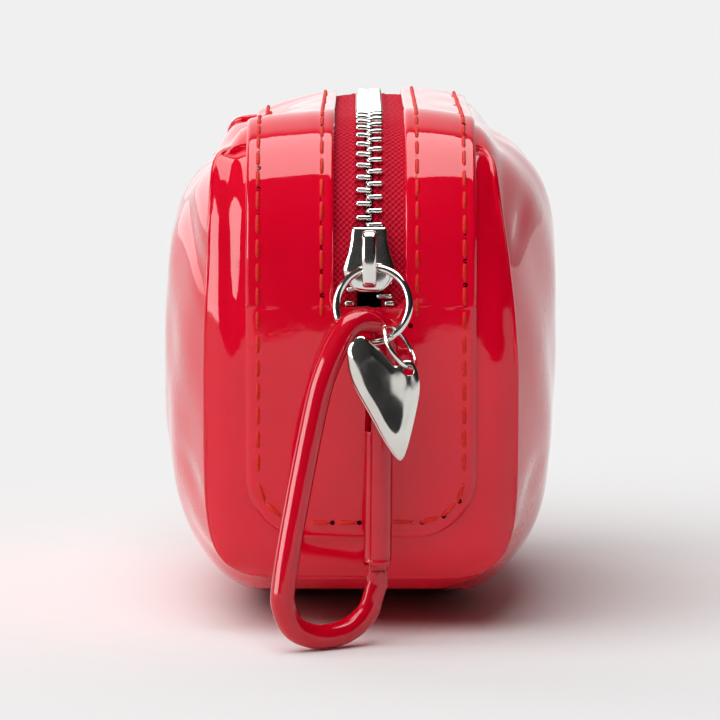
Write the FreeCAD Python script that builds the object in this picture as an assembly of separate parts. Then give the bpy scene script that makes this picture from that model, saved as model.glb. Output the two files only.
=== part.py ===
import FreeCAD, Part
import math
import os

# Small boxy zip-around pouch in puffed patent leather, with a ring, a heart charm and a spring clip.
# Frame: X across the pouch, Y along its length (the slider is at the -Y end), Z up from the floor.
# All lengths are in millimetres.

os.makedirs("parts", exist_ok=True)

V = FreeCAD.Vector
X_AXIS = V(1, 0, 0)
Y_AXIS = V(0, 1, 0)
Z_AXIS = V(0, 0, 1)

# ---- pouch body ----
HALF_LENGTH = 55.0        # centre to the outer face of the band at each end
BAND_THICK = 1.0
LEATHER_THICK = 2.0       # leather with its thin wadding
LINING_THICK = 0.8
LINING_GAP = 0.1
SKIN_HALF_LENGTH = HALF_LENGTH - BAND_THICK
MID_HALF_WIDTH = 32.0     # widest, half way along
END_HALF_WIDTH = 23.2
BODY_TOP = 81.0           # leather surface under the band
END_RISE = 7.5            # height of an end panel's bottom edge
BOTTOM_CUT = 0.6          # how much of the crowned underside is flattened by its own weight
TOP_SQUARENESS = 4.6      # exponents of the cross section: higher is squarer
MID_BOTTOM_SQUARENESS = 2.9
END_SQUARENESS = 6.5
SECTION_POINTS = 56

# ---- path of the zip and band, seen along X ----
CORNER_Y = 33.0           # centres of the two upper corners
CORNER_Z = 60.0
CORNER_R = 21.0           # leather surface; also the middle of the zip chain
PANEL_TOP_ANGLE = 56.0    # how far an end panel reaches round the corner

# ---- zip band ----
BAND_HALF_WIDTH = 17.85
BAND_BOTTOM = 16.0
BAND_TAB_R = 9.5
ZIP_X = 1.3               # the zip is sewn in slightly to one side
WINDOW_HALF_WIDTH = 5.45
WINDOW_BOTTOM = 52.2
WINDOW_CORNER_R = 2.0

# ---- zip ----
TAPE_OUTER = 12.0         # from the zip's middle to the tape's outer edge
TAPE_INNER = 2.2
TAPE_R_LOW = 20.35
TAPE_R_HIGH = 20.95
TAPE_BOTTOM = 48.0
TEETH_BOTTOM = 53.4
TOOTH_PITCH = 2.2
TOOTH_WIDTH = 0.95        # along the zip
TOOTH_BACK = 2.15         # from the zip's middle to the tooth's outer end
TOOTH_REACH = 0.9         # past the zip's middle when meshed
TOOTH_R_LOW = 20.3
TOOTH_R_HIGH = 21.8
TOOTH_CLEARANCE = 0.15    # between a meshed tooth and the slider's flange
OPEN_SHIFT = 1.5          # how far a tooth stands back in the slider's mouth
OPEN_LOW = 57.5           # teeth are fully parted below this height and meshed above the next
OPEN_HIGH = 60.5
NEAR_STOP_LENGTH = 0.85
FAR_STOP_LENGTH = 1.8
FAR_STOP_HALF_WIDTH = 2.6
STOP_GAP = 0.15           # between a stop and the window's edge
STOP_CLEARANCE = 0.3      # between the far stop and the last tooth

# ---- slider ----
SLIDER_LOW = 54.6
SLIDER_HIGH = 64.7
SLIDER_TOP_HALF = 2.75
SLIDER_SHOULDER_HALF = 4.15
SLIDER_SHOULDER_Z = 58.0
SLIDER_TIP_HALF = 2.6
PLATE_R_LOW = 21.95
PLATE_THICK = 0.9
INNER_PLATE_R_LOW = 19.2
INNER_PLATE_R_HIGH = 20.15
FLANGE_WIDTH = 0.4
FLANGE_INSET = 0.05
FLANGE_R_LOW = 21.1
POST_HALF = 0.55
POST_LOW = 55.4
POST_HIGH = 57.6
BRIDGE_HALF_WIDTH = 1.1
BRIDGE_LOW = 55.5
BRIDGE_HIGH = 64.3
BRIDGE_THICK = 0.8
BRIDGE_REACH = 3.1        # from the slider plate's face to the bridge's outer face

# ---- jump ring ----
RING_R = 5.78
RING_WIRE_R = 0.62
RING_CENTRE = V(1.83, -58.63, 52.95)
RING_YAW = -14.4
RING_LEAN = -14.5

# ---- charm ----
CHARM_Y = -64.2           # middle of the charm's thickness
CHARM_THICK = 2.6
CHARM_HOLE_X = 7.3
CHARM_HOLE_Z = 43.5
CHARM_HOLE_R = 0.8
CHARM_OUTLINE = [         # asymmetric heart, X and Z
    (-2.1, 45.6), (-1.9, 42.8), (-0.4, 38.8), (2.0, 34.6), (4.2, 31.2), (6.1, 29.4),
    (7.4, 31.6), (8.1, 35.5), (8.9, 39.6), (8.3, 42.6), (6.9, 45.0), (5.6, 43.0),
    (3.2, 45.6), (1.2, 47.8), (-0.2, 48.7), (-1.6, 47.7),
]
LOOP_R = 3.8
LOOP_WIRE_R = 0.35
LOOP_CENTRE = V(5.9, -62.15, 46.82)
LOOP_SLOPE = 56.6         # the loop's plane drops to the right at this angle
LOOP_YAW = -20.7          # and its right side stands nearer

# ---- spring clip, drawn flat in its own plane: U across, W up ----
CLIP_WIRE_R = 1.95
CLIP_ORIGIN = V(-4.0, -61.35, 0.01)
CLIP_YAW = 32.3
CLIP_LEAN = 1.2
CLIP_PATH = [             # centre of the wire, from the nose over the top to the neck
    (7.57, 37.7), (8.16, 42.0), (8.64, 46.2), (7.45, 49.4), (4.97, 50.6), (2.13, 50.0),
    (0.0, 47.4), (-2.13, 43.3), (-3.67, 38.8), (-6.15, 28.0), (-8.28, 17.5), (-9.35, 11.0),
    (-9.46, 7.5), (-7.69, 4.0), (-4.61, 2.4), (-1.42, 2.0), (2.37, 2.7), (5.68, 5.0), (7.45, 9.2),
]
GATE_U = 7.57
GATE_LOW = 12.4
GATE_HIGH = 37.0
GATE_R = 2.2
GATE_BORE_R = 1.35
GATE_BORE_HIGH = 31.0
PIVOT_W = 14.6
PIVOT_SLOT_HIGH = 17.2
NOSE_SLOT_LOW = 33.4
SLOT_HALF = 0.85
NECK_HALF = 0.75
NECK_R = 1.9
NOSE_LOW = 34.0
NOSE_HALF_WIDTH = 1.2
NOSE_HALF = 0.65
PIN_R = 0.6
PIN_CLEARANCE = 0.05
PLUNGER_R = 1.25
PLUNGER_LENGTH = 3.0
SPRING_R = 0.9
SPRING_WIRE_R = 0.18
SPRING_PITCH = 1.1

# ---- thread ----
STITCH_PITCH = 3.66
STITCH_LENGTH = 2.7
STITCH_R = 0.3
STITCH_PROUD = 0.2
STITCH_MARGIN = 1.85      # outer row to the band's edge
INNER_ROW = 7.4           # inner rows to the zip's middle


def export(node, shape):
    """Write one node's solids."""
    shape.exportStep("parts/" + node + ".step")


def box(x0, x1, y0, y1, z0, z1):
    return Part.makeBox(x1 - x0, y1 - y0, z1 - z0, V(x0, y0, z0))


def prism(points, direction):
    """Extrude the closed polygon through the points."""
    face = Part.Face(Part.makePolygon(points + [points[0]]))
    return face.extrude(direction)


def arc_edge(cy, cz, radius, start, end, x):
    """Arc in the YZ plane; angles in degrees from +Y towards +Z."""
    def at(angle):
        a = math.radians(angle)
        return V(x, cy + radius * math.cos(a), cz + radius * math.sin(a))
    return Part.Arc(at(start), at((start + end) / 2.0), at(end)).toShape()


def side_path_edges(radius, z_low, x):
    """Edges of the zip's path at one distance from the corner centres, near bottom to far bottom."""
    near = -CORNER_Y - radius
    far = CORNER_Y + radius
    top = CORNER_Z + radius
    return [
        Part.makeLine(V(x, near, z_low), V(x, near, CORNER_Z)),
        arc_edge(-CORNER_Y, CORNER_Z, radius, 180.0, 90.0, x),
        Part.makeLine(V(x, -CORNER_Y, top), V(x, CORNER_Y, top)),
        arc_edge(CORNER_Y, CORNER_Z, radius, 90.0, 0.0, x),
        Part.makeLine(V(x, far, CORNER_Z), V(x, far, z_low)),
    ]


def strip(r_low, r_high, z_low, x0, x1):
    """A strip that runs up one end, over the top and down the other end."""
    outer = side_path_edges(r_high, z_low, x0)
    inner = side_path_edges(r_low, z_low, x0)
    far_end = Part.makeLine(V(x0, CORNER_Y + r_high, z_low), V(x0, CORNER_Y + r_low, z_low))
    near_end = Part.makeLine(V(x0, -CORNER_Y - r_low, z_low), V(x0, -CORNER_Y - r_high, z_low))
    wire = Part.Wire(Part.__sortEdges__(outer + [far_end] + inner + [near_end]))
    return Part.Face(wire).extrude(V(x1 - x0, 0, 0))


def profile_block(inset):
    """The side profile, flat ends and rounded upper corners, as a block across X."""
    radius = CORNER_R - inset
    edges = side_path_edges(radius, -10.0, -40.0)
    edges.append(Part.makeLine(V(-40.0, CORNER_Y + radius, -10.0), V(-40.0, -CORNER_Y - radius, -10.0)))
    wire = Part.Wire(Part.__sortEdges__(edges))
    return Part.Face(wire).extrude(V(80.0, 0, 0))


def section_wire(y, inset):
    """One closed cross section of the puffed body."""
    t = min(1.0, abs(y) / SKIN_HALF_LENGTH)
    half_width = END_HALF_WIDTH + (MID_HALF_WIDTH - END_HALF_WIDTH) * (1.0 - t ** 2.2) - inset
    low = END_RISE * t * t - BOTTOM_CUT * (1.0 - t * t) + inset
    high = BODY_TOP + 1.5 - inset
    half_height = (high - low) / 2.0
    mid = (high + low) / 2.0
    top_n = TOP_SQUARENESS + (END_SQUARENESS - TOP_SQUARENESS) * t * t
    low_n = MID_BOTTOM_SQUARENESS + (END_SQUARENESS - MID_BOTTOM_SQUARENESS) * t * t
    points = []
    for k in range(SECTION_POINTS):
        a = 2.0 * math.pi * k / SECTION_POINTS
        c = math.cos(a)
        s = math.sin(a)
        n = top_n if s > 0 else low_n
        r = 1.0 / ((abs(c) / half_width) ** n + (abs(s) / half_height) ** n) ** (1.0 / n)
        points.append(V(r * c, y, mid + r * s))
    curve = Part.BSplineCurve()
    curve.interpolate(Points=points, PeriodicFlag=True)
    return Part.Wire(curve.toShape())


def barrel(inset):
    """The puffed outline, seen along Y, as a solid a little longer than the body."""
    stations = [-SKIN_HALF_LENGTH - 2.0, -38.0, -19.0, 0.0, 19.0, 38.0, SKIN_HALF_LENGTH + 2.0]
    wires = [section_wire(y, inset) for y in stations]
    return Part.makeLoft(wires, True, False)


def envelope(inset):
    return profile_block(inset).common(barrel(inset))


def end_band_region(angle):
    """Wedge that takes in an end face and the corner up to an angle, at the -Y end."""
    a = math.radians(180.0 - angle)
    reach = 60.0
    points = [
        V(-45.0, -CORNER_Y, CORNER_Z),
        V(-45.0, -CORNER_Y + reach * math.cos(a), CORNER_Z + reach * math.sin(a)),
        V(-45.0, -100.0, CORNER_Z + reach * math.sin(a)),
        V(-45.0, -100.0, -12.0),
        V(-45.0, -CORNER_Y, -12.0),
    ]
    return prism(points, V(90.0, 0, 0))


def mirrored_y(shape):
    return shape.mirror(V(0, 0, 0), Y_AXIS)


def make_skin():
    """Body wrap and the two end panels, open along the zip."""
    outer = envelope(0.0)
    ground = box(-60, 60, -80, 80, -30, 0)
    outer = outer.cut(ground)
    inner = envelope(LEATHER_THICK)
    slot_x0 = ZIP_X - TAPE_OUTER - 0.3
    slot_x1 = ZIP_X + TAPE_OUTER + 0.3
    slot = strip(CORNER_R - LEATHER_THICK - 0.6, CORNER_R + 0.5, TAPE_BOTTOM - 0.4, slot_x0, slot_x1)
    shell = outer.cut(inner).cut(slot)
    near_skin = profile_block(0.0).cut(profile_block(LEATHER_THICK))
    near_skin = near_skin.common(end_band_region(PANEL_TOP_ANGLE))
    near_panel = shell.common(near_skin)
    far_skin = mirrored_y(near_skin)
    far_panel = shell.common(far_skin)
    wrap = shell.cut(near_skin).cut(far_skin)
    return wrap, near_panel, far_panel


def make_lining():
    """Thin bag inside the leather, open along the zip."""
    outside = LEATHER_THICK + LINING_GAP
    inside = outside + LINING_THICK
    shell = envelope(outside).cut(envelope(inside))
    mouth = strip(CORNER_R - inside - 1.0, CORNER_R, TAPE_BOTTOM, ZIP_X - 10.5, ZIP_X + 10.5)
    return shell.cut(mouth)


def rounded_plate(x0, x1, z0, z1, radius, y0, y1):
    """Upright plate with its lower two corners rounded."""
    plate = box(x0, x1, y0, y1, z0, z1)
    edges = []
    for edge in plate.Edges:
        a = edge.Vertexes[0].Point
        b = edge.Vertexes[1].Point
        if abs(a.z - z0) < 1e-6 and abs(b.z - z0) < 1e-6 and abs(a.x - b.x) < 1e-6:
            edges.append(edge)
    return plate.makeFillet(radius, edges)


def make_band():
    """One leather strip with the zip's window, ending in a rounded tab on each end panel."""
    band = strip(CORNER_R, CORNER_R + BAND_THICK, BAND_BOTTOM, -BAND_HALF_WIDTH, BAND_HALF_WIDTH)
    outline = rounded_plate(-BAND_HALF_WIDTH, BAND_HALF_WIDTH, BAND_BOTTOM, 100.0, BAND_TAB_R, -60.0, 60.0)
    window = rounded_plate(ZIP_X - WINDOW_HALF_WIDTH, ZIP_X + WINDOW_HALF_WIDTH,
                           WINDOW_BOTTOM, 110.0, WINDOW_CORNER_R, -61.0, 61.0)
    return band.common(outline).cut(window)


def make_tape(side):
    inner = ZIP_X + side * TAPE_INNER
    outer = ZIP_X + side * TAPE_OUTER
    return strip(TAPE_R_LOW, TAPE_R_HIGH, TAPE_BOTTOM, min(inner, outer), max(inner, outer))


def placed_on_path(shape, distance):
    """Move a shape made at the near corner's foot to a distance along the zip from there."""
    quarter = CORNER_R * math.pi / 2.0
    top_run = 2.0 * CORNER_Y
    moved = shape.copy()
    if distance < 0:
        moved.translate(V(0, 0, distance))
        return moved
    if distance < quarter:
        moved.rotate(V(0, -CORNER_Y, CORNER_Z), X_AXIS, -math.degrees(distance / CORNER_R))
        return moved
    moved.rotate(V(0, -CORNER_Y, CORNER_Z), X_AXIS, -90.0)
    if distance < quarter + top_run:
        moved.translate(V(0, distance - quarter, 0))
        return moved
    moved.translate(V(0, top_run, 0))
    rest = distance - quarter - top_run
    if rest < quarter:
        moved.rotate(V(0, CORNER_Y, CORNER_Z), X_AXIS, -math.degrees(rest / CORNER_R))
        return moved
    moved.rotate(V(0, CORNER_Y, CORNER_Z), X_AXIS, -90.0)
    moved.translate(V(0, 0, -(rest - quarter)))
    return moved


def path_length():
    straight = CORNER_Z - TEETH_BOTTOM
    return 2.0 * straight + 2.0 * CORNER_Y + CORNER_R * math.pi


def open_amount(distance):
    """How far a tooth stands back from its meshed place, near the slider's mouth."""
    z = CORNER_Z + distance
    parted = (OPEN_HIGH - z) / (OPEN_HIGH - OPEN_LOW)
    return OPEN_SHIFT * max(0.0, min(1.0, parted))


def tooth_shape(side, shift):
    """A metal tooth clamped on the tape's edge, with a narrower head past the middle."""
    back = ZIP_X + side * (TOOTH_BACK + shift)
    neck = ZIP_X + side * (0.5 + shift)
    head = ZIP_X - side * (TOOTH_REACH - shift)
    y0 = -CORNER_Y - TOOTH_R_HIGH
    y1 = -CORNER_Y - TOOTH_R_LOW
    half = TOOTH_WIDTH / 2.0
    body = box(min(back, neck), max(back, neck), y0, y1, CORNER_Z - half, CORNER_Z + half)
    nose = box(min(neck, head), max(neck, head), y0 + 0.25, y1 - 0.25,
               CORNER_Z - half * 0.85, CORNER_Z + half * 0.85)
    return body.fuse(nose).removeSplitter()


def make_teeth(side):
    """Every tooth on one side; the two sides stand half a pitch apart so that they mesh."""
    start = TEETH_BOTTOM - CORNER_Z + (0.5 if side > 0 else 0.5 + TOOTH_PITCH / 2.0)
    end = path_length() + TEETH_BOTTOM - CORNER_Z - FAR_STOP_LENGTH - 2.0 * STOP_CLEARANCE
    teeth = []
    distance = start
    while distance < end:
        teeth.append(placed_on_path(tooth_shape(side, open_amount(distance)), distance))
        distance += TOOTH_PITCH
    return Part.makeCompound(teeth)


def make_near_stops():
    """Small clips on the tapes below the first teeth."""
    y0 = -CORNER_Y - TOOTH_R_HIGH
    y1 = -CORNER_Y - TAPE_R_HIGH
    z0 = WINDOW_BOTTOM + STOP_GAP
    z1 = z0 + NEAR_STOP_LENGTH
    stops = []
    for side in (-1, 1):
        a = ZIP_X + side * (TAPE_INNER + 0.1)
        b = ZIP_X + side * (TAPE_INNER + 1.7)
        stops.append(box(min(a, b), max(a, b), y0, y1, z0, z1))
    return Part.makeCompound(stops)


def make_far_stop():
    """The single clip across both tapes at the far end of the chain."""
    y0 = CORNER_Y + TAPE_R_HIGH
    y1 = CORNER_Y + TOOTH_R_HIGH
    z0 = WINDOW_BOTTOM + STOP_CLEARANCE
    z1 = z0 + FAR_STOP_LENGTH
    return box(ZIP_X - FAR_STOP_HALF_WIDTH, ZIP_X + FAR_STOP_HALF_WIDTH, y0, y1, z0, z1)


def slider_outline(inset):
    """Bell shaped outline of the slider in XZ at y = 0."""
    top = SLIDER_TOP_HALF - inset
    shoulder = SLIDER_SHOULDER_HALF - inset
    tip = SLIDER_TIP_HALF - inset
    low = SLIDER_LOW + inset
    high = SLIDER_HIGH - inset
    right = [
        V(ZIP_X + top, 0, high),
        V(ZIP_X + shoulder, 0, SLIDER_SHOULDER_Z + 0.6),
        V(ZIP_X + shoulder, 0, SLIDER_SHOULDER_Z - 0.9),
        V(ZIP_X + tip, 0, low),
    ]
    left = [V(2.0 * ZIP_X - p.x, 0, p.z) for p in reversed(right)]
    return right + left


def make_slider():
    """Outer and inner plates joined by the post that parts the teeth."""
    y_face = -CORNER_Y - PLATE_R_LOW - PLATE_THICK
    outline = slider_outline(0.0)
    outer_plate = prism([p + V(0, y_face, 0) for p in outline], V(0, PLATE_THICK, 0))
    outer_plate = outer_plate.makeFillet(0.25, outer_plate.Edges)
    y_root = y_face + PLATE_THICK / 2.0
    flange_depth = PLATE_THICK / 2.0 + PLATE_R_LOW - FLANGE_R_LOW
    rim_outline = slider_outline(FLANGE_INSET)
    hollow_outline = slider_outline(FLANGE_INSET + FLANGE_WIDTH)
    rim = prism([p + V(0, y_root, 0) for p in rim_outline], V(0, flange_depth, 0))
    hollow = prism([p + V(0, y_root, 0) for p in hollow_outline], V(0, PLATE_THICK + 4.0, 0))
    flanges = rim.cut(hollow)
    channel = TOOTH_BACK + TOOTH_CLEARANCE
    sides = box(-20, ZIP_X - channel, -70, -40, SLIDER_SHOULDER_Z, SLIDER_HIGH + 1.0)
    sides = sides.fuse(box(ZIP_X + channel, 20, -70, -40, SLIDER_SHOULDER_Z, SLIDER_HIGH + 1.0))
    flanges = flanges.common(sides)
    ring_sector = Part.makeCylinder(INNER_PLATE_R_HIGH, 40.0, V(-20, -CORNER_Y, CORNER_Z), X_AXIS)
    ring_sector = ring_sector.cut(
        Part.makeCylinder(INNER_PLATE_R_LOW, 42.0, V(-21, -CORNER_Y, CORNER_Z), X_AXIS))
    column = prism([p + V(0, -60.0, 0) for p in slider_outline(0.2)], V(0, 15.0, 0))
    inner_plate = ring_sector.common(column)
    post = box(ZIP_X - POST_HALF, ZIP_X + POST_HALF,
               -CORNER_Y - PLATE_R_LOW - 0.2, -CORNER_Y - INNER_PLATE_R_LOW - 0.6, POST_LOW, POST_HIGH)
    return outer_plate.fuse(flanges).fuse(inner_plate).fuse(post)


def make_bridge():
    """Flat staple on the slider's face; its lower end is the eye for the ring."""
    y_face = -CORNER_Y - PLATE_R_LOW - PLATE_THICK
    y_out = y_face - BRIDGE_REACH
    outer = box(ZIP_X - BRIDGE_HALF_WIDTH, ZIP_X + BRIDGE_HALF_WIDTH,
                y_out, y_face, BRIDGE_LOW, BRIDGE_HIGH)
    rounded = []
    for edge in outer.Edges:
        a = edge.Vertexes[0].Point
        b = edge.Vertexes[1].Point
        if abs(a.y - y_out) < 1e-6 and abs(b.y - y_out) < 1e-6 and abs(a.z - b.z) < 1e-6:
            rounded.append(edge)
    outer = outer.makeFillet(1.3, rounded)
    eye = box(ZIP_X - 5.0, ZIP_X + 5.0, y_out + BRIDGE_THICK, y_face + 1.0,
              BRIDGE_LOW + BRIDGE_THICK, BRIDGE_HIGH - BRIDGE_THICK)
    return outer.cut(eye)


def tilted(shape, centre, yaw, lean):
    """Lean a shape about X, then yaw it about Z, and put its origin at the centre."""
    placement = FreeCAD.Placement(V(0, 0, 0), FreeCAD.Rotation(Z_AXIS, yaw)).multiply(
        FreeCAD.Placement(V(0, 0, 0), FreeCAD.Rotation(X_AXIS, lean)))
    moved = shape.copy()
    moved.Placement = FreeCAD.Placement(centre, placement.Rotation).multiply(shape.Placement)
    return moved


def make_ring():
    ring = Part.makeTorus(RING_R, RING_WIRE_R, V(0, 0, 0), Y_AXIS)
    return tilted(ring, RING_CENTRE, RING_YAW, RING_LEAN)


def charm_wire(depth, scale):
    """The heart's outline at one depth through its thickness, shrunk about its middle."""
    mid_x = sum(x for x, z in CHARM_OUTLINE) / len(CHARM_OUTLINE)
    mid_z = sum(z for x, z in CHARM_OUTLINE) / len(CHARM_OUTLINE)
    points = []
    for x, z in CHARM_OUTLINE:
        points.append(V(mid_x + scale * (x - mid_x), CHARM_Y + depth, mid_z + scale * (z - mid_z)))
    curve = Part.BSplineCurve()
    curve.interpolate(Points=points, PeriodicFlag=True)
    return Part.Wire(curve.toShape())


def make_charm():
    """Slim heart plate with sloping edges and a hole for its loop."""
    half = CHARM_THICK / 2.0
    wires = [charm_wire(-half, 0.86), charm_wire(-0.4 * half, 1.0), charm_wire(0.4 * half, 1.0),
             charm_wire(half, 0.86)]
    plate = Part.makeLoft(wires, True, True)
    hole = Part.makeCylinder(CHARM_HOLE_R, 10.0, V(CHARM_HOLE_X, CHARM_Y - 5.0, CHARM_HOLE_Z), Y_AXIS)
    return plate.cut(hole)


def make_charm_loop():
    slope = math.radians(LOOP_SLOPE)
    yaw = math.radians(LOOP_YAW)
    down = V(math.cos(slope) * math.cos(yaw), math.cos(slope) * math.sin(yaw), -math.sin(slope))
    level = V(-math.sin(yaw), math.cos(yaw), 0)
    return Part.makeTorus(LOOP_R, LOOP_WIRE_R, LOOP_CENTRE, down.cross(level))


def in_clip_place(shape):
    return tilted(shape, CLIP_ORIGIN, CLIP_YAW, CLIP_LEAN)


def make_clip_frame():
    """Bent wire with a flat nose at one end and a flat, drilled neck at the other."""
    curve = Part.BSplineCurve()
    curve.interpolate([V(u, 0, w) for u, w in CLIP_PATH])
    spine = Part.Wire(curve.toShape())
    start = curve.value(curve.FirstParameter)
    tangent = curve.tangent(curve.FirstParameter)[0]
    circle = Part.Wire(Part.makeCircle(CLIP_WIRE_R, start, tangent))
    wire = spine.makePipeShell([circle], True, False)
    nose = box(GATE_U - NOSE_HALF_WIDTH, GATE_U + NOSE_HALF_WIDTH, -NOSE_HALF, NOSE_HALF, NOSE_LOW, 38.6)
    neck = box(GATE_U - NECK_R, GATE_U + NECK_R, -NECK_HALF, NECK_HALF, 7.6, PIVOT_W)
    neck = neck.fuse(Part.makeCylinder(NECK_R, 2.0 * NECK_HALF, V(GATE_U, -NECK_HALF, PIVOT_W), Y_AXIS))
    hole = Part.makeCylinder(PIN_R + PIN_CLEARANCE, 8.0, V(GATE_U, -4.0, PIVOT_W), Y_AXIS)
    return wire.fuse(nose).fuse(neck.cut(hole)).removeSplitter()


def make_gate():
    """Tube with a slot at the pivot, a slot for the nose and a bore for its spring."""
    tube = Part.makeCylinder(GATE_R, GATE_HIGH - GATE_LOW, V(GATE_U, 0, GATE_LOW))
    bore = Part.makeCylinder(GATE_BORE_R, GATE_BORE_HIGH - GATE_LOW, V(GATE_U, 0, GATE_LOW - 0.5))
    low_slot = box(GATE_U - 5, GATE_U + 5, -SLOT_HALF, SLOT_HALF, GATE_LOW - 1, PIVOT_SLOT_HIGH)
    high_slot = box(GATE_U - 5, GATE_U + 5, -SLOT_HALF, SLOT_HALF, NOSE_SLOT_LOW, GATE_HIGH + 1)
    hole = Part.makeCylinder(PIN_R, 8.0, V(GATE_U, -4.0, PIVOT_W), Y_AXIS)
    return tube.cut(bore).cut(low_slot).cut(high_slot).cut(hole)


def make_gate_pin():
    return Part.makeCylinder(PIN_R, 2.0 * GATE_R - 0.2, V(GATE_U, -GATE_R + 0.1, PIVOT_W), Y_AXIS)


def make_plunger():
    return Part.makeCylinder(PLUNGER_R, PLUNGER_LENGTH, V(GATE_U, 0, PIVOT_W + NECK_R + 0.1))


def make_gate_spring():
    low = PIVOT_W + NECK_R + 0.1 + PLUNGER_LENGTH + SPRING_WIRE_R + 0.02
    high = GATE_BORE_HIGH - 0.5 - SPRING_WIRE_R - 0.02
    helix = Part.makeHelix(SPRING_PITCH, high - low, SPRING_R)
    circle = Part.Wire(Part.makeCircle(SPRING_WIRE_R, V(SPRING_R, 0, 0), Y_AXIS))
    spring = Part.Wire(helix).makePipeShell([circle], True, False)
    spring.translate(V(GATE_U, 0, low))
    return spring


def stitch_up(x, distance):
    """One stitch lying along the zip's path at a distance from the near corner's foot."""
    y = -CORNER_Y - CORNER_R - BAND_THICK - STITCH_PROUD + STITCH_R
    thread = Part.makeCylinder(STITCH_R, STITCH_LENGTH, V(x, y, CORNER_Z - STITCH_LENGTH / 2.0))
    return placed_on_path(thread, distance)


def stitch_across(x, z, side):
    """One stitch lying across an end tab; side is -1 near and +1 far."""
    y = side * (HALF_LENGTH + STITCH_PROUD - STITCH_R)
    return Part.makeCylinder(STITCH_R, STITCH_LENGTH, V(x - STITCH_LENGTH / 2.0, y, z), X_AXIS)


def stitch_row(x, z_low):
    """A row that runs up one end, over the top and down the other end."""
    first = z_low - CORNER_Z
    last = CORNER_R * math.pi + 2.0 * CORNER_Y - first
    count = int((last - first) / STITCH_PITCH)
    pitch = (last - first) / count
    return [stitch_up(x, first + (k + 0.5) * pitch) for k in range(count)]


def across_row(x0, x1, z):
    count = int((x1 - x0) / STITCH_PITCH)
    pitch = (x1 - x0) / count
    stitches = []
    for side in (-1, 1):
        for k in range(count):
            stitches.append(stitch_across(x0 + (k + 0.5) * pitch, z, side))
    return stitches


def make_outer_stitches():
    x = BAND_HALF_WIDTH - STITCH_MARGIN
    low = BAND_BOTTOM + BAND_TAB_R + 0.6
    flat = BAND_HALF_WIDTH - BAND_TAB_R
    stitches = stitch_row(-x, low) + stitch_row(x, low) + across_row(-flat, flat, BAND_BOTTOM + 2.5)
    corner_r = BAND_TAB_R - STITCH_MARGIN
    for side_y in (-1, 1):
        for side_x in (-1, 1):
            for angle in (18.0, 45.0, 72.0):
                a = math.radians(angle)
                cx = side_x * (flat + corner_r * math.cos(a))
                cz = BAND_BOTTOM + BAND_TAB_R - (corner_r - 0.65 * math.sin(a)) * math.sin(a)
                direction = V(side_x * math.sin(a), 0, math.cos(a))
                y = side_y * (HALF_LENGTH + STITCH_PROUD - STITCH_R)
                start = V(cx, y, cz) - direction * (STITCH_LENGTH / 2.0)
                stitches.append(Part.makeCylinder(STITCH_R, STITCH_LENGTH, start, direction))
    return Part.makeCompound(stitches)


def make_inner_stitches():
    low = WINDOW_BOTTOM - 2.8
    stitches = stitch_row(ZIP_X - INNER_ROW, low + 1.0) + stitch_row(ZIP_X + INNER_ROW, low + 1.0)
    stitches += across_row(ZIP_X - INNER_ROW + 0.6, ZIP_X + INNER_ROW - 0.6, low)
    return Part.makeCompound(stitches)


body_wrap, end_panel_near, end_panel_far = make_skin()
export("body_wrap", body_wrap)
export("end_panel_near", end_panel_near)
export("end_panel_far", end_panel_far)
export("lining", make_lining())
export("zip_band", make_band())
export("zip_tape_left", make_tape(-1))
export("zip_tape_right", make_tape(1))
export("zip_teeth_left", make_teeth(-1))
export("zip_teeth_right", make_teeth(1))
export("zip_stops_near", make_near_stops())
export("zip_stop_far", make_far_stop())
export("slider_body", make_slider())
export("slider_bridge", make_bridge())
export("jump_ring", make_ring())
export("heart_charm", make_charm())
export("charm_loop", make_charm_loop())
export("clip_frame", in_clip_place(make_clip_frame()))
export("clip_gate", in_clip_place(make_gate()))
export("gate_pin", in_clip_place(make_gate_pin()))
export("gate_plunger", in_clip_place(make_plunger()))
export("gate_spring", in_clip_place(make_gate_spring()))
export("stitches_outer", make_outer_stitches())
export("stitches_inner", make_inner_stitches())
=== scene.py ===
import math

import bmesh
import bpy
from mathutils import Matrix, Vector


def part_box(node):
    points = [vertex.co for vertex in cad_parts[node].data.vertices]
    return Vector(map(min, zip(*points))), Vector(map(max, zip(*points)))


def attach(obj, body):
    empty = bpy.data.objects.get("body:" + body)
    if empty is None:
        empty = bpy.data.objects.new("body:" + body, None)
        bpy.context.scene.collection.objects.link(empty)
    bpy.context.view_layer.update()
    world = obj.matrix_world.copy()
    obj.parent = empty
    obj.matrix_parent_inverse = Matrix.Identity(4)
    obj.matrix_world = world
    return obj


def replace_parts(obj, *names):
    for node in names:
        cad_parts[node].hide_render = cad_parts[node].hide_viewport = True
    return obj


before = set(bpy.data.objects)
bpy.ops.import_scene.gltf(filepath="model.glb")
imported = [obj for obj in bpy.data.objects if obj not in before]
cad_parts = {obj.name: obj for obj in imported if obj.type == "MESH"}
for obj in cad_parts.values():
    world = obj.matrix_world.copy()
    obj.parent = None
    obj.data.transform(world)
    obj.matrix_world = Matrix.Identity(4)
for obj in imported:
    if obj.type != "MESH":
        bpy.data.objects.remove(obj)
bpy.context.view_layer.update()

# A small padded pouch of patent leather. Shapes are worked out in millimetres and turned into metres
# when a mesh is made. X runs across the pouch, Y along it (the slider is at -Y) and Z up. A place on the
# zip's path is x and "run", the distance from the floor up the near end, over the top and down again.
MM = 0.001

# ---- sizes, most of them taken from the CAD frame ----
band_low, band_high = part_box("zip_band")
slider_low, slider_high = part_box("slider_body")
bridge_low, bridge_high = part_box("slider_bridge")

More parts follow.
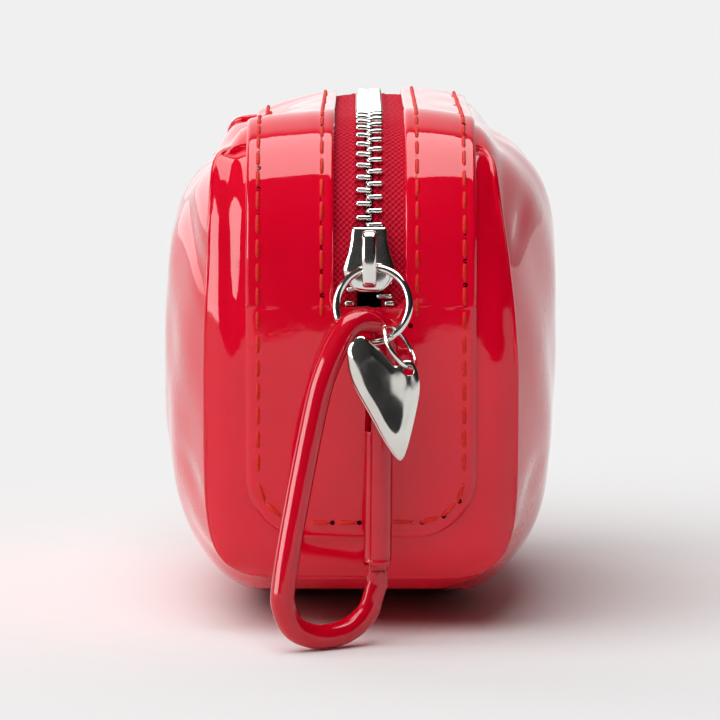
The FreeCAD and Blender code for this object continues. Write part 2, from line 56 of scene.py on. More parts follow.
BAND_THICK = 1.0
BAND_HALF_WIDTH = (band_high.x - band_low.x) / 2.0 / MM
BAND_FOOT = band_low.z / MM
BODY_TOP = band_high.z / MM - BAND_THICK
SKIN_END = band_high.y / MM - BAND_THICK    # half length of the body under the band
CORNER_R = 21.0
CORNER_Y = SKIN_END - CORNER_R
CORNER_Z = BODY_TOP - CORNER_R
ZIP_X = (slider_low.x + slider_high.x) / 2.0 / MM
WINDOW_HALF = 5.45
WINDOW_FOOT = 52.2
WINDOW_CORNER = 2.0
TAB_R = 9.5

# distances on the zip's path: where the near corner starts, where the top starts, half way, and the end
ARC_LENGTH = CORNER_R * math.pi / 2.0
PATH_ARC = CORNER_Z
PATH_TOP = CORNER_Z + ARC_LENGTH
PATH_MID = PATH_TOP + CORNER_Y
PATH_END = 2.0 * PATH_MID

# ---- body shape ----
MID_HALF_WIDTH = 32.0
MID_CENTRE_Z = 42.0
MID_SHOULDER_Z = 77.8
SHOULDER_DROP_LEFT = 3.2
MID_SQUARE_TOP = 4.2
MID_SQUARE_LOW = 3.1
END_HALF_WIDTH = 24.1
END_TAPER_LEFT = 0.045
END_TAPER_RIGHT = 0.14
END_LOW = 8.6
END_SQUARENESS = 15.0
END_SQUARENESS_LOW = 7.0
SEAM_ANGLE = 56.0
SEAM_TOP = CORNER_Z + CORNER_R * math.radians(SEAM_ANGLE)
SEAM_DEPTH = 2.3
SEAM_ROLL_R = 0.55
PANEL_CROWN_R = 170.0
PANEL_CROWN_TOP = 48.0
SAG_LEFT_NEAR = 0.8       # the band's left edge hangs lower towards the far end
SAG_LEFT_FAR = 5.2
SAG_RIGHT = 1.5
PUFF_POWER = 2.5
BELLY_SLOPE = 0.15
LEATHER_THICK = 1.6
MOUTH_LOW = 60.0          # the wrap is open above this height, beside the zip
MOUTH_HALF = WINDOW_HALF + 2.5

AROUND = 288
ALONG = 132
PANEL_RINGS = 44


def smooth(value, low, high):
    """0 below low, 1 above high, with an even rise between."""
    t = max(0.0, min(1.0, (value - low) / (high - low)))
    return t * t * (3.0 - 2.0 * t)


def mix(a, b, t):
    """Blend from a to b."""
    return a + (b - a) * t


# ---- path of the zip ----

def path_frame(run):
    """Point and outward normal (y, z, ny, nz) on the zip's path at an unrolled distance."""
    if run > PATH_MID:
        y, z, ny, nz = path_frame(PATH_END - run)
        return -y, z, -ny, nz
    if run < PATH_ARC:
        below = max(0.0, PANEL_CROWN_TOP - run)
        slope = below / PANEL_CROWN_R
        length = math.hypot(1.0, slope)
        return -SKIN_END + below * slope / 2.0, run, -1.0 / length, -slope / length
    if run < PATH_TOP:
        a = (run - PATH_ARC) / CORNER_R
        y = -CORNER_Y - CORNER_R * math.cos(a)
        return y, CORNER_Z + CORNER_R * math.sin(a), -math.cos(a), math.sin(a)
    return -CORNER_Y + (run - PATH_TOP), BODY_TOP, 0.0, 1.0


def sideways_drop(x, run):
    """How far the leather falls away from the path's line at x."""
    near = min(run, PATH_END - run)
    top = smooth(near, PATH_ARC + 10.0, PATH_TOP + 6.0)
    reach = min(abs(x) / BAND_HALF_WIDTH, 1.25)
    if x < 0:
        along = smooth(run, PATH_ARC, PATH_MID + CORNER_Y)
        drop = mix(SAG_LEFT_NEAR, SAG_LEFT_FAR, along) * reach ** 1.7
    else:
        drop = SAG_RIGHT * reach ** 3.0
    return top * drop + (1.0 - top) * 0.35 * reach ** 2.0


def skin_point(x, run, height):
    """Point over the path at x, raised by a height along the normal."""
    y, z, ny, nz = path_frame(run)
    lift = height - sideways_drop(x, run)
    return Vector((x, y + ny * lift, z + nz * lift))


# ---- mesh helpers ----

def add_object(name, data):
    """Put an object with this mesh, light or camera into the scene."""
    obj = bpy.data.objects.new(name, data)
    bpy.context.scene.collection.objects.link(obj)
    return obj


def new_object(name, vertices, faces, body, slot, material):
    """Make a smooth mesh piece from millimetre points; it rides on a body."""
    mesh = bpy.data.meshes.new(name)
    mesh.from_pydata([Vector(v) * MM for v in vertices], [], faces)
    mesh.validate()
    bm = bmesh.new()
    bm.from_mesh(mesh)
    bmesh.ops.recalc_face_normals(bm, faces=bm.faces)
    bm.to_mesh(mesh)
    bm.free()
    obj = add_object(name, mesh)
    for polygon in mesh.polygons:
        polygon.use_smooth = True
    mesh.materials.append(material)
    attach(obj, body)
    return obj


def grid_faces(rows, columns, closed=False):
    """Quads of a grid stored row by row; closed joins the last column to the first."""
    faces = []
    across = columns if closed else columns - 1
    for r in range(rows - 1):
        for c in range(across):
            d = (c + 1) % columns
            faces.append((r * columns + c, r * columns + d, (r + 1) * columns + d, (r + 1) * columns + c))
    return faces


def capped_faces(rings, sides):
    """Faces of a solid made of closed rings, with a flat cap at each end."""
    faces = grid_faces(rings, sides, closed=True)
    faces.append(tuple(range(sides)))
    faces.append(tuple((rings - 1) * sides + k for k in range(sides)))
    return faces


def outside_mouth(points, faces, low, half_width):
    """The faces that are below a height or away from the zip's line by more than a half width."""
    kept = []
    for face in faces:
        middle = sum((points[i] for i in face), Vector()) / len(face)
        if middle.z < low or abs(middle.x - ZIP_X) > half_width:
            kept.append(face)
    return kept


def superellipse(angle, half_x, half_z, power):
    """Point on a rounded rectangle: power 2 is an ellipse, and a higher power has squarer corners."""
    c = math.cos(angle)
    s = math.sin(angle)
    r = (abs(c / half_x) ** power + abs(s / half_z) ** power) ** (-1.0 / power)
    return r * c, r * s


def oval(sides, half_x, half_z, power, turn=0.0):
    """Ring of points on a superellipse; turn moves them round by a part of a side."""
    return [superellipse(2.0 * math.pi * (k + turn) / sides, half_x, half_z, power) for k in range(sides)]


def add_uv(obj, coordinates):
    """One UV for each vertex, in units that suit the piece's material."""
    layer = obj.data.uv_layers.new(name="UVMap")
    for loop in obj.data.loops:
        layer.data[loop.index].uv = coordinates[loop.vertex_index]


def thicken(obj, thickness, offset=-1.0, bevel=0.0):
    """Give a sheet its thickness and, where a bevel is given, rounded edges."""
    solid = obj.modifiers.new("thickness", "SOLIDIFY")
    solid.thickness = thickness * MM
    solid.offset = offset
    solid.use_even_offset = True
    if bevel > 0.0:
        rim = obj.modifiers.new("rounded_edge", "BEVEL")
        rim.width = bevel * MM
        rim.segments = 3
        rim.limit_method = "ANGLE"
        rim.angle_limit = math.radians(50.0)
    apply_modifiers(obj)


def apply_modifiers(obj):
    """Replace the mesh by the result of its modifiers."""
    graph = bpy.context.evaluated_depsgraph_get()
    result = bpy.data.meshes.new_from_object(obj.evaluated_get(graph))
    obj.modifiers.clear()
    old = obj.data
    obj.data = result
    bpy.data.meshes.remove(old)


def cut_away(obj, name, vertices, faces):
    """Cut a closed shape, given in millimetres, out of a piece."""
    mesh = bpy.data.meshes.new(name)
    mesh.from_pydata([Vector(v) * MM for v in vertices], [], faces)
    cutter = add_object(name, mesh)
    cut = obj.modifiers.new(name, "BOOLEAN")
    cut.object = cutter
    cut.operation = "DIFFERENCE"
    cut.solver = "EXACT"
    apply_modifiers(obj)
    bpy.data.objects.remove(cutter)
    bpy.data.meshes.remove(mesh)


def face_outwards(obj):
    """Turn a sheet so that its normals point away from the body's middle."""
    middle = Vector((0.0, 0.0, MID_CENTRE_Z * MM))
    total = sum((p.center - middle).dot(p.normal) * p.area for p in obj.data.polygons)
    if total < 0.0:
        obj.data.flip_normals()


def looped_faces(rings, sides):
    """Faces of closed rings whose last ring joins the first."""
    last = (rings - 1) * sides
    joint = [(last + k, last + (k + 1) % sides, (k + 1) % sides, k) for k in range(sides)]
    return grid_faces(rings, sides, closed=True) + joint


def tube(points, radius, sides, closed=False):
    """Vertices and faces of a tube along points. radius is a number or one number for each point."""
    count = len(points)
    radii = radius if isinstance(radius, (list, tuple)) else [radius] * count
    vertices = []
    normal = None
    for i, point in enumerate(points):
        ahead = points[(i + 1) % count] if closed or i < count - 1 else point
        behind = points[i - 1] if closed or i > 0 else point
        tangent = (ahead - behind).normalized()
        if normal is None:
            side = Vector((0, 0, 1)) if abs(tangent.z) < 0.9 else Vector((1, 0, 0))
            normal = tangent.cross(side).normalized()
        normal = (normal - tangent * normal.dot(tangent)).normalized()
        other = tangent.cross(normal)
        for k in range(sides):
            a = 2.0 * math.pi * k / sides
            vertices.append(point + radii[i] * (normal * math.cos(a) + other * math.sin(a)))
    if closed:
        return vertices, looped_faces(count, sides)
    faces = grid_faces(count, sides, closed=True)
    faces.append(tuple(range(sides)))
    faces.append(tuple((count - 1) * sides + k for k in reversed(range(sides))))
    return vertices, faces


def merged(parts):
    """Join several (vertices, faces) pairs into one."""
    vertices = []
    faces = []
    for part_vertices, part_faces in parts:
        start = len(vertices)
        vertices.extend(part_vertices)
        faces.extend(tuple(start + i for i in face) for face in part_faces)
    return vertices, faces


# ---- materials ----

RED = (0.84, 0.0, 0.024)
RED_DEEP = (0.76, 0.0, 0.019)
ENAMEL = (0.66, 0.0, 0.018)
ENAMEL_DEEP = (0.58, 0.0, 0.014)
THREAD = (0.88, 0.030, 0.014)
THREAD_DEEP = (0.66, 0.014, 0.008)
# for the tape and the lining the darker tone is painted shade in the weave's hollows
TAPE_RED = (0.80, 0.012, 0.045)
TAPE_HOLLOW_SHADE = (0.42, 0.0, 0.015)
LINING_GREY = (0.10, 0.09, 0.09)
LINING_HOLLOW_SHADE = (0.04, 0.035, 0.035)
# painted shade: near-black red for the shaded inside of the needle holes
HOLE_SHADE_RED = (0.06, 0.0, 0.004)
HOLE_SHADE_DEEP = (0.02, 0.0, 0.001)
FLOOR_GREY = (0.82, 0.82, 0.82)
TAPE_WEAVE = 0.95         # millimetres from thread to thread
LINING_WEAVE = 0.8


class Shader:
    """Adds nodes and links to a material or a world; main is the node that takes the result."""

    def __init__(self, owner, main="Principled BSDF"):
        owner.use_nodes = True
        self.owner = owner
        self.tree = owner.node_tree
        self.main = self.tree.nodes[main]

    def node(self, kind, **settings):
        made = self.tree.nodes.new(kind)
        for key, value in settings.items():
            setattr(made, key, value)
        return made

    def feed(self, socket, value):
        """Set a socket to a value, or drive it from another node's output."""
        if isinstance(value, bpy.types.NodeSocket):
            self.tree.links.new(value, socket)
        else:
            socket.default_value = value

    def put(self, key, value):
        self.feed(self.main.inputs[key], value)

    def base(self, colour, roughness, metallic=0.0):
        self.put("Base Color", (*colour, 1.0))
        self.put("Roughness", roughness)
        self.put("Metallic", metallic)

    def place(self, kind):
        return self.node("ShaderNodeTexCoord").outputs[kind]

    def split(self, vector):
        made = self.node("ShaderNodeSeparateXYZ")
        self.feed(made.inputs[0], vector)
        return made.outputs

    def noise(self, scale, detail=3.0):
        made = self.node("ShaderNodeTexNoise")
        made.inputs["Scale"].default_value = scale
        made.inputs["Detail"].default_value = detail
        self.feed(made.inputs["Vector"], self.place("Object"))
        return made.outputs["Fac"]

    def math(self, operation, *values):
        made = self.node("ShaderNodeMath", operation=operation)
        for socket, value in zip(made.inputs, values):
            self.feed(socket, value)
        return made.outputs[0]

    def ramp(self, source, low, low_colour, high, high_colour):
        made = self.node("ShaderNodeValToRGB")
        for element, place, colour in zip(made.color_ramp.elements, (low, high), (low_colour, high_colour)):
            element.position = place
            element.color = (*colour, 1.0)
        self.feed(made.inputs["Fac"], source)
        return made.outputs["Color"]

    def range(self, source, low, high, to_low, to_high, kind="LINEAR"):
        made = self.node("ShaderNodeMapRange", interpolation_type=kind)
        self.feed(made.inputs["Value"], source)
        for key, value in (("From Min", low), ("From Max", high), ("To Min", to_low), ("To Max", to_high)):
            made.inputs[key].default_value = value
        return made.outputs["Result"]

    def bump(self, height, strength, distance, normal=None):
        made = self.node("ShaderNodeBump")
        made.inputs["Strength"].default_value = strength
        made.inputs["Distance"].default_value = distance
        self.feed(made.inputs["Height"], height)
        if normal is not None:
            self.feed(made.inputs["Normal"], normal)
        return made.outputs["Normal"]

    def mottle(self, scale, deep, colour):
        """Let the colour drift between two close tones."""
        self.put("Base Color", self.ramp(self.noise(scale), 0.3, deep, 0.7, colour))

    def wear(self, scale, detail, high, rough_low, rough_high):
        """Let the roughness drift between two values."""
        self.put("Roughness", self.range(self.noise(scale, detail), 0.35, high, rough_low, rough_high))


def new_shader(name):
    return Shader(bpy.data.materials.new(name))


def lacquered_leather(name, ripple_scale, ripple_strength, ripple_depth):
    """Deep red patent leather: a very smooth face with faint ripple and pores."""
    shader = new_shader(name)
    shader.base(RED, 0.045)
    shader.put("IOR", 1.52)
    shader.mottle(60.0, RED_DEEP, RED)
    shader.wear(900.0, 4.0, 0.7, 0.030, 0.065)
    ripple = shader.bump(shader.noise(ripple_scale, 2.0), ripple_strength, ripple_depth)
    shader.put("Normal", shader.bump(shader.noise(1500.0), 0.08, 0.00004, ripple))
    return shader.owner


def woven(name, hollow_shade, light, pitch):
    """Woven cloth: two crossing thread waves and a little fuzz, driven by UVs in millimetres; the weave's
    hollows get a darker tone as painted shade.
    """
    shader = new_shader(name)
    shader.base(light, 0.85)
    shader.put("Specular IOR Level", 0.12)
    u, v = shader.split(shader.place("UV"))[:2]
    scale = 2.0 * math.pi / pitch
    across = shader.math("SINE", shader.math("MULTIPLY", u, scale))
    along = shader.math("SINE", shader.math("MULTIPLY", v, scale))
    weave = shader.range(shader.math("MULTIPLY", across, along), -1.0, 1.0, 0.0, 1.0)
    # painted shade: darker where the weave is low, the cloth's own colour on the raised threads
    shader.put("Base Color", shader.ramp(weave, 0.2, hollow_shade, 0.8, light))
    bumped = shader.bump(weave, 1.0, 0.00022)
    shader.put("Normal", shader.bump(shader.noise(4000.0), 0.3, 0.00003, bumped))
    return shader.owner


def sewing_thread():
    """Twisted sewing thread with a soft shine."""
    shader = new_shader("sewing_thread")
    shader.base(THREAD, 0.55)
    shader.put("Specular IOR Level", 0.2)
    shader.mottle(2500.0, THREAD_DEEP, THREAD)
    twist = shader.node("ShaderNodeTexWave", bands_direction="DIAGONAL")
    twist.inputs["Scale"].default_value = 900.0
    shader.feed(twist.inputs["Vector"], shader.place("Object"))
    shader.put("Normal", shader.bump(twist.outputs["Fac"], 0.5, 0.00006))
    return shader.owner


def plated_metal(name, colour, rough_low, rough_high, wave=0.00005, wave_scale=120.0):
    """Bright plated metal with slight casting waves and fine wear."""
    shader = new_shader(name)
    shader.base(colour, rough_low, 1.0)
    shader.wear(500.0, 5.0, 0.75, rough_low, rough_high)
    shader.mottle(200.0, tuple(c * 0.85 for c in colour), colour)
    shader.put("Normal", shader.bump(shader.noise(wave_scale, 2.0), 0.4, wave))
    return shader.owner


def enamel():
    """Glossy red enamel over metal, a touch wavy."""
    shader = new_shader("red_enamel")
    shader.base(ENAMEL, 0.06)
    shader.put("IOR", 1.55)
    shader.mottle(150.0, ENAMEL_DEEP, ENAMEL)
    shader.wear(700.0, 4.0, 0.7, 0.05, 0.11)
    shader.put("Normal", shader.bump(shader.noise(180.0, 2.0), 0.35, 0.00015))
    return shader.owner


def painted_hole_shade():
    """Near-black red for the needle hole beside a stitch: painted shade of the hole's inside, with no
    reflection.
    """
    shader = new_shader("needle_hole_shade_disc")
    shader.base(HOLE_SHADE_RED, 0.9)
    shader.put("Specular IOR Level", 0.0)
    shader.mottle(1500.0, HOLE_SHADE_DEEP, HOLE_SHADE_RED)
    return shader.owner


def floor_material():
    """Plain pale table top."""
    shader = new_shader("studio_floor")
    shader.base(FLOOR_GREY, 0.7)
    shader.put("Specular IOR Level", 0.0)
    return shader.owner


PATENT = lacquered_leather("patent_leather", 120.0, 0.35, 0.00012)
BAND = lacquered_leather("band_leather", 150.0, 0.30, 0.00010)
TAPE = woven("zip_tape_weave", TAPE_HOLLOW_SHADE, TAPE_RED, TAPE_WEAVE)
LINING = woven("lining_weave", LINING_HOLLOW_SHADE, LINING_GREY, LINING_WEAVE)
THREAD_RED = sewing_thread()
NICKEL = plated_metal("bright_nickel", (0.83, 0.81, 0.78), 0.05, 0.12)
CHAIN_METAL = plated_metal("zip_chain_nickel", (0.72, 0.70, 0.67), 0.12, 0.24)
CHARM_METAL = plated_metal("charm_nickel", (0.78, 0.76, 0.71), 0.08, 0.16, 0.00012, 160.0)
SPRING_STEEL = plated_metal("spring_steel", (0.45, 0.45, 0.46), 0.2, 0.32)
ENAMEL_RED = enamel()
# material with painted shade for the needle holes
HOLE_SHADE = painted_hole_shade()


# ---- padded leather body ----

def end_outline(angle):
    """Edge of an end panel: x, and the distance along the path (its height below the corner)."""
    squareness = END_SQUARENESS if math.sin(angle) > 0 else END_SQUARENESS_LOW
    x, z = superellipse(angle, END_HALF_WIDTH, (SEAM_TOP - END_LOW) / 2.0, squareness)
    run = (END_LOW + SEAM_TOP) / 2.0 + z
    return x * end_taper(x, run), run


def end_taper(x, run):
    """The panel narrows towards the top, more on the right than on the left."""
    amount = END_TAPER_LEFT if x < 0 else END_TAPER_RIGHT
    return 1.0 - amount * smooth(run, 40.0, SEAM_TOP)


def seam_sink(run):
    """Depth of the seam's valley, which is shallower near the top."""
    return SEAM_DEPTH * (1.0 - 0.55 * smooth(run, SEAM_TOP - 12.0, SEAM_TOP))


def end_point(x, run, sink, side):
    """Point sunk below the path's line at one end; side is -1 near and 1 far."""
    y, z, ny, nz = path_frame(run)
    sink += sideways_drop(x, run) * 0.6
    y -= ny * sink
    return Vector((x, y if side < 0 else -y, z - nz * sink))


def seam_point(angle, side):
    """Point on the seam round an end panel."""
    x, run = end_outline(angle)
    return end_point(x, run, seam_sink(run), side)


def middle_section(angle):
    """The body's cross section half way along, flattened where it rests on the floor."""
    upper = math.sin(angle) >= 0
    half = MID_SHOULDER_Z - MID_CENTRE_Z if upper else MID_CENTRE_Z + 0.8
    power = MID_SQUARE_TOP if upper else MID_SQUARE_LOW
    x, z = superellipse(angle, MID_HALF_WIDTH, half, power)
    drop = SHOULDER_DROP_LEFT * smooth(-x, 0.0, 22.0) if upper else 0.0
    return x, max(0.0, MID_CENTRE_Z + z - drop * smooth(z, 0.0, 30.0))


def wrap_point(angle, along):
    """Point on the wrap; along runs from -1 at the near seam to 1 at the far seam."""
    side = -1 if along < 0 else 1
    seam = seam_point(angle, side)
    mx, mz = middle_section(angle)
    t = abs(along)
    swell = 1.0 - t ** PUFF_POWER
    x = seam.x + (mx - seam.x) * swell
    z = seam.z + (mz - seam.z) * swell
    y = seam.y * t
    if math.sin(angle) > 0.0 and z > CORNER_Z:
        under = 1.0 - smooth(abs(x), BAND_HALF_WIDTH + 0.4, BAND_HALF_WIDTH + 4.5)
        z = mix(z, top_line(x, y) - 0.3, under)
    return Vector((x, y, z))


def top_line(x, y):
    """Height of the leather over the top and round the corner at a place along the body."""
    out = abs(y) - CORNER_Y
    if out <= 0.0:
        return BODY_TOP - sideways_drop(x, PATH_MID + y)
    z = CORNER_Z + math.sqrt(max(0.0, CORNER_R ** 2 - out ** 2))
    run = PATH_ARC + CORNER_R * math.acos(min(1.0, out / CORNER_R))
    return z - sideways_drop(x, run if y < 0 else PATH_END - run)


def crease(point, start, end, depth, width):
    """Depth of one soft fold between two points in the end view (x, z)."""
    px, pz = point
    ax, az = start
    bx, bz = end
    dx, dz = bx - ax, bz - az
    t = max(0.0, min(1.0, ((px - ax) * dx + (pz - az) * dz) / (dx * dx + dz * dz)))
    away = math.hypot(px - ax - t * dx, pz - az - t * dz)
    fade = math.sin(math.pi * min(1.0, max(0.0, 0.08 + 0.84 * t)))
    return depth * fade * math.exp(-(away / width) ** 2)


FOLDS = (
    # start (x, z), end (x, z), depth, width: soft folds of the padded wrap, seen from the near end
    ((-30.0, 74.0), (-22.5, 50.0), 0.8, 1.6),
    ((-26.0, 78.0), (-25.0, 60.0), -0.6, 2.0),
    ((-31.0, 30.0), (-24.5, 18.0), 0.9, 1.8),
    ((-29.0, 16.0), (-17.0, 6.0), 1.0, 1.8),
    ((-22.0, 9.0), (-8.0, 4.5), 0.6, 1.5),
    ((30.0, 28.0), (25.5, 18.0), 0.8, 1.7),
    ((27.0, 18.0), (20.0, 5.0), 1.0, 1.9),
    ((24.0, 8.0), (10.0, 3.5), 0.6, 1.5),
    ((27.5, 72.0), (24.0, 60.0), 0.5, 1.5),
)


def fold_depth(point):
    """How far the folds near the two ends sink the wrap at a point."""
    reach = smooth(abs(point.y), 22.0, 44.0)
    if reach == 0.0:
        return 0.0
    return reach * sum(crease((point.x, point.z), *fold) for fold in FOLDS)


def soft_wave(point):
    """Gentle unevenness of the wadding."""
    return (0.30 * math.sin(point.x * 0.16 + point.y * 0.10 + 0.7) * math.sin(point.z * 0.13 + 0.3)
            + 0.16 * math.sin(point.y * 0.26 + point.z * 0.19)
            + 0.10 * math.sin(point.x * 0.33 - point.y * 0.21 + point.z * 0.27))


def under_band(point):
    """1 where the band lies on the body, so that the leather below it stays even."""
    inside = 1.0 - smooth(abs(point.x), BAND_HALF_WIDTH + 0.4, BAND_HALF_WIDTH + 4.0)
    high = smooth(point.z, BAND_FOOT - 4.0, BAND_FOOT)
    return inside * high


def settle(points):
    """Push points in towards the middle for the folds and waves, keeping them off the floor."""
    settled = []
    for p in points:
        direction = Vector((p.x, p.y * 0.2, p.z - MID_CENTRE_Z)).normalized()
        depth = fold_depth(p) + soft_wave(p) * 0.8
        q = p - direction * (1.0 - under_band(p)) * depth
        q.z = max(0.05 + belly_rise(q.y), q.z)
        settled.append(q)
    return settled


def belly_rise(y):
    """The underside lifts gently off the floor towards both ends."""
    return BELLY_SLOPE * abs(y) * smooth(abs(y), 0.0, 14.0)


def body_grid(rows, columns):
    """Points of the wrap from the near seam to the far seam, closer together near the seams."""
    points = []
    for r in range(rows):
        along = -math.cos(math.pi * r / (rows - 1))
        points += [wrap_point(2.0 * math.pi * c / columns, along) for c in range(columns)]
    return points


def make_wrap():
    """The long padded piece round the sides, floor and top, open along the zip."""
    points = settle(body_grid(ALONG + 1, AROUND))
    faces = outside_mouth(points, grid_faces(ALONG + 1, AROUND, closed=True), MOUTH_LOW, MOUTH_HALF)
    obj = new_object("wrap_padded", points, faces, "pouch", "patent_leather", PATENT)
    thicken(obj, LEATHER_THICK)
    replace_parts(obj, "body_wrap")


LINING_WIDTH = 0.90       # the lining's share of the leather's width and height, and of its length
LINING_LENGTH = 0.93
LINING_MOUTH_HALF = 10.0


def make_lining():
    """Cloth bag a little inside the leather, with its mouth along the zip."""
    rows = 61
    columns = 144
    points = []
    for p in body_grid(rows, columns):
        z = MID_CENTRE_Z + (p.z - MID_CENTRE_Z) * LINING_WIDTH
        points.append(Vector((p.x * LINING_WIDTH, p.y * LINING_LENGTH, z)))
    faces = outside_mouth(points, grid_faces(rows, columns, closed=True), MOUTH_LOW, LINING_MOUTH_HALF)
    for first in (0, (rows - 1) * columns):
        for c in range(columns):
            p = points[first + c]
            if p.z < MOUTH_LOW or abs(p.x - ZIP_X) > LINING_MOUTH_HALF:
                faces.append((first + c, first + (c + 1) % columns, len(points)))
        points.append(sum(points[first:first + columns], Vector()) / columns)
    obj = new_object("lining_bag", points, faces, "pouch", "lining_cloth", LINING)
    add_uv(obj, [(p.x + p.y, p.z) for p in points])
    face_outwards(obj)
    thicken(obj, 0.6)
    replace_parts(obj, "lining")


def panel_point(angle, inward, side):
    """Point on an end panel; inward is 0 at the seam and 1 at the middle."""
    edge_x, edge_run = end_outline(angle)
    middle_run = (END_LOW + SEAM_TOP) / 2.0 + 2.0
    x = edge_x * (1.0 - inward)
    run = mix(edge_run, middle_run, inward)
    distance = distance_to_seam(x, run)
    broad = 0.35 * math.exp(-distance / 2.6)
    sink = mix(broad, seam_sink(edge_run), math.exp(-(distance / 2.0) ** 1.3))
    return end_point(x, run, sink + pleat(x, run), side)


def pleat(x, run):
    """A soft upright valley between the band and the left seam, and a fainter one on the right."""
    if x < 0:
        return 0.75 * smooth(run, 38.0, 62.0) * math.exp(-((x + 20.4) / 1.5) ** 2)
    return 0.35 * smooth(run, 30.0, 60.0) * math.exp(-((x - 20.0) / 1.4) ** 2)


def distance_to_seam(x, run):
    """Rough distance from a panel point to its seam."""
    across = END_HALF_WIDTH * end_taper(x, run) - abs(x)
    return max(0.0, min(across, run - END_LOW, SEAM_TOP - run))


def make_panel(side, name, node):
    """One padded end panel, open below the zip's window."""
    points = []
    for r in range(PANEL_RINGS):
        inward = (r / (PANEL_RINGS - 1)) ** 1.5 * 0.995
        points += [panel_point(2.0 * math.pi * c / AROUND, inward, side) for c in range(AROUND)]
    points = panel_folds(points)
    faces = grid_faces(PANEL_RINGS, AROUND, closed=True)
    faces = outside_mouth(points, faces, WINDOW_FOOT - 1.5, MOUTH_HALF)
    faces.append(tuple((PANEL_RINGS - 1) * AROUND + c for c in range(AROUND)))
    obj = new_object(name, points, faces, "pouch", "patent_leather", PATENT)
    thicken(obj, LEATHER_THICK)
    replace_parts(obj, node)


def panel_folds(points):
    """Small puckers drawn in by the seam on the panel's lower part."""
    moved = []
    for p in points:
        edge = smooth(abs(p.x), END_HALF_WIDTH - 6.0, END_HALF_WIDTH - 0.5)
        pull = max(edge, 1.0 - smooth(p.z, 10.0, 24.0))
        wave = 0.07 * math.sin(p.z * 0.45 + p.x * 0.25) + 0.05 * math.sin(p.x * 0.5 - p.z * 0.2)
        shift = wave * pull * (1.0 - under_band(p))
        moved.append(Vector((p.x, p.y + shift if p.y < 0 else p.y - shift, p.z)))
    return moved


def make_seam(side, name):
    """Thin rolled leather edge caught in the seam's tight valley."""
    count = 220
    line = []
    for k in range(count):
        p = seam_point(2.0 * math.pi * k / count, side)
        line.append(Vector((p.x, p.y - side * SEAM_ROLL_R, max(SEAM_ROLL_R + 0.05, p.z))))
    new_object(name, *tube(line, SEAM_ROLL_R, 8, closed=True), "pouch", "patent_leather", PATENT)


# ---- band ----

STITCH_MARGIN = 1.85      # from the band's edge to the outer row
INNER_ROW = 7.4           # from the zip's line to the inner rows
STITCH_PITCH = 3.66
STITCH_LENGTH = 3.05
THREAD_R = 0.31
HOLE_R = 0.38


def band_half_width_at(run):
    """Half width of the band at a distance on the path: its tab is rounded at the foot."""
    near = min(run, PATH_END - run) - BAND_FOOT
    if near >= TAB_R:
        return BAND_HALF_WIDTH
    near = max(0.0, near)
    return BAND_HALF_WIDTH - TAB_R + math.sqrt(max(0.0, TAB_R ** 2 - (TAB_R - near) ** 2))


def window_half_width_at(run):
    """Half width of the window at a distance on the path, or 0 below it."""
    near = min(run, PATH_END - run) - WINDOW_FOOT
    if near <= 0.0:
        return 0.0
    if near >= WINDOW_CORNER:
        return WINDOW_HALF
    return WINDOW_HALF - WINDOW_CORNER + math.sqrt(WINDOW_CORNER ** 2 - (WINDOW_CORNER - near) ** 2)


def band_runs():
    """Path distances of the band's rows, closer together at the tabs and the window's ends."""
    half = [BAND_FOOT + TAB_R * (1.0 - math.cos(math.pi / 2.0 * k / 14)) for k in range(14)]
    half += [BAND_FOOT + TAB_R + 2.0 * k for k in range(12)]
    half += [WINDOW_FOOT - 1.0, WINDOW_FOOT - 0.4, WINDOW_FOOT]
    half += [WINDOW_FOOT + WINDOW_CORNER * (1.0 - math.cos(math.pi / 2.0 * k / 7)) for k in range(1, 8)]
    run = WINDOW_FOOT + WINDOW_CORNER + 0.8
    while run < PATH_MID - 0.5:
        half.append(run)
        run += 1.1 if run < PATH_TOP + 4.0 else 2.5
    half = sorted(set(round(v, 4) for v in half))
    return half + [PATH_MID] + [PATH_END - v for v in reversed(half)]


def band_lift(x, run):
    """Height of the band's face: crisp rounded rims, a pressed channel at each stitch row, soft waves."""
    near = min(run, PATH_END - run)
    rim = min(band_half_width_at(run) - abs(x), 3.0, near - BAND_FOOT)
    if near > WINDOW_FOOT:
        rim = min(rim, max(0.0, abs(x - ZIP_X) - window_half_width_at(run)))
    edge = 0.28 * math.exp(-max(0.0, rim) / 0.35)
    channel = 0.16 * math.exp(-((BAND_HALF_WIDTH - abs(x) - STITCH_MARGIN) / 0.55) ** 2)
    inner = abs(abs(x - ZIP_X) - INNER_ROW)
    channel += 0.14 * math.exp(-(inner / 0.5) ** 2) * smooth(near, WINDOW_FOOT - 3.0, WINDOW_FOOT - 2.0)
    wave = 0.10 * math.sin(run * 0.21 + 0.6) * math.sin(x * 0.27 + 0.2)
    return BAND_THICK - edge - channel + wave * smooth(rim, 0.0, 2.5)


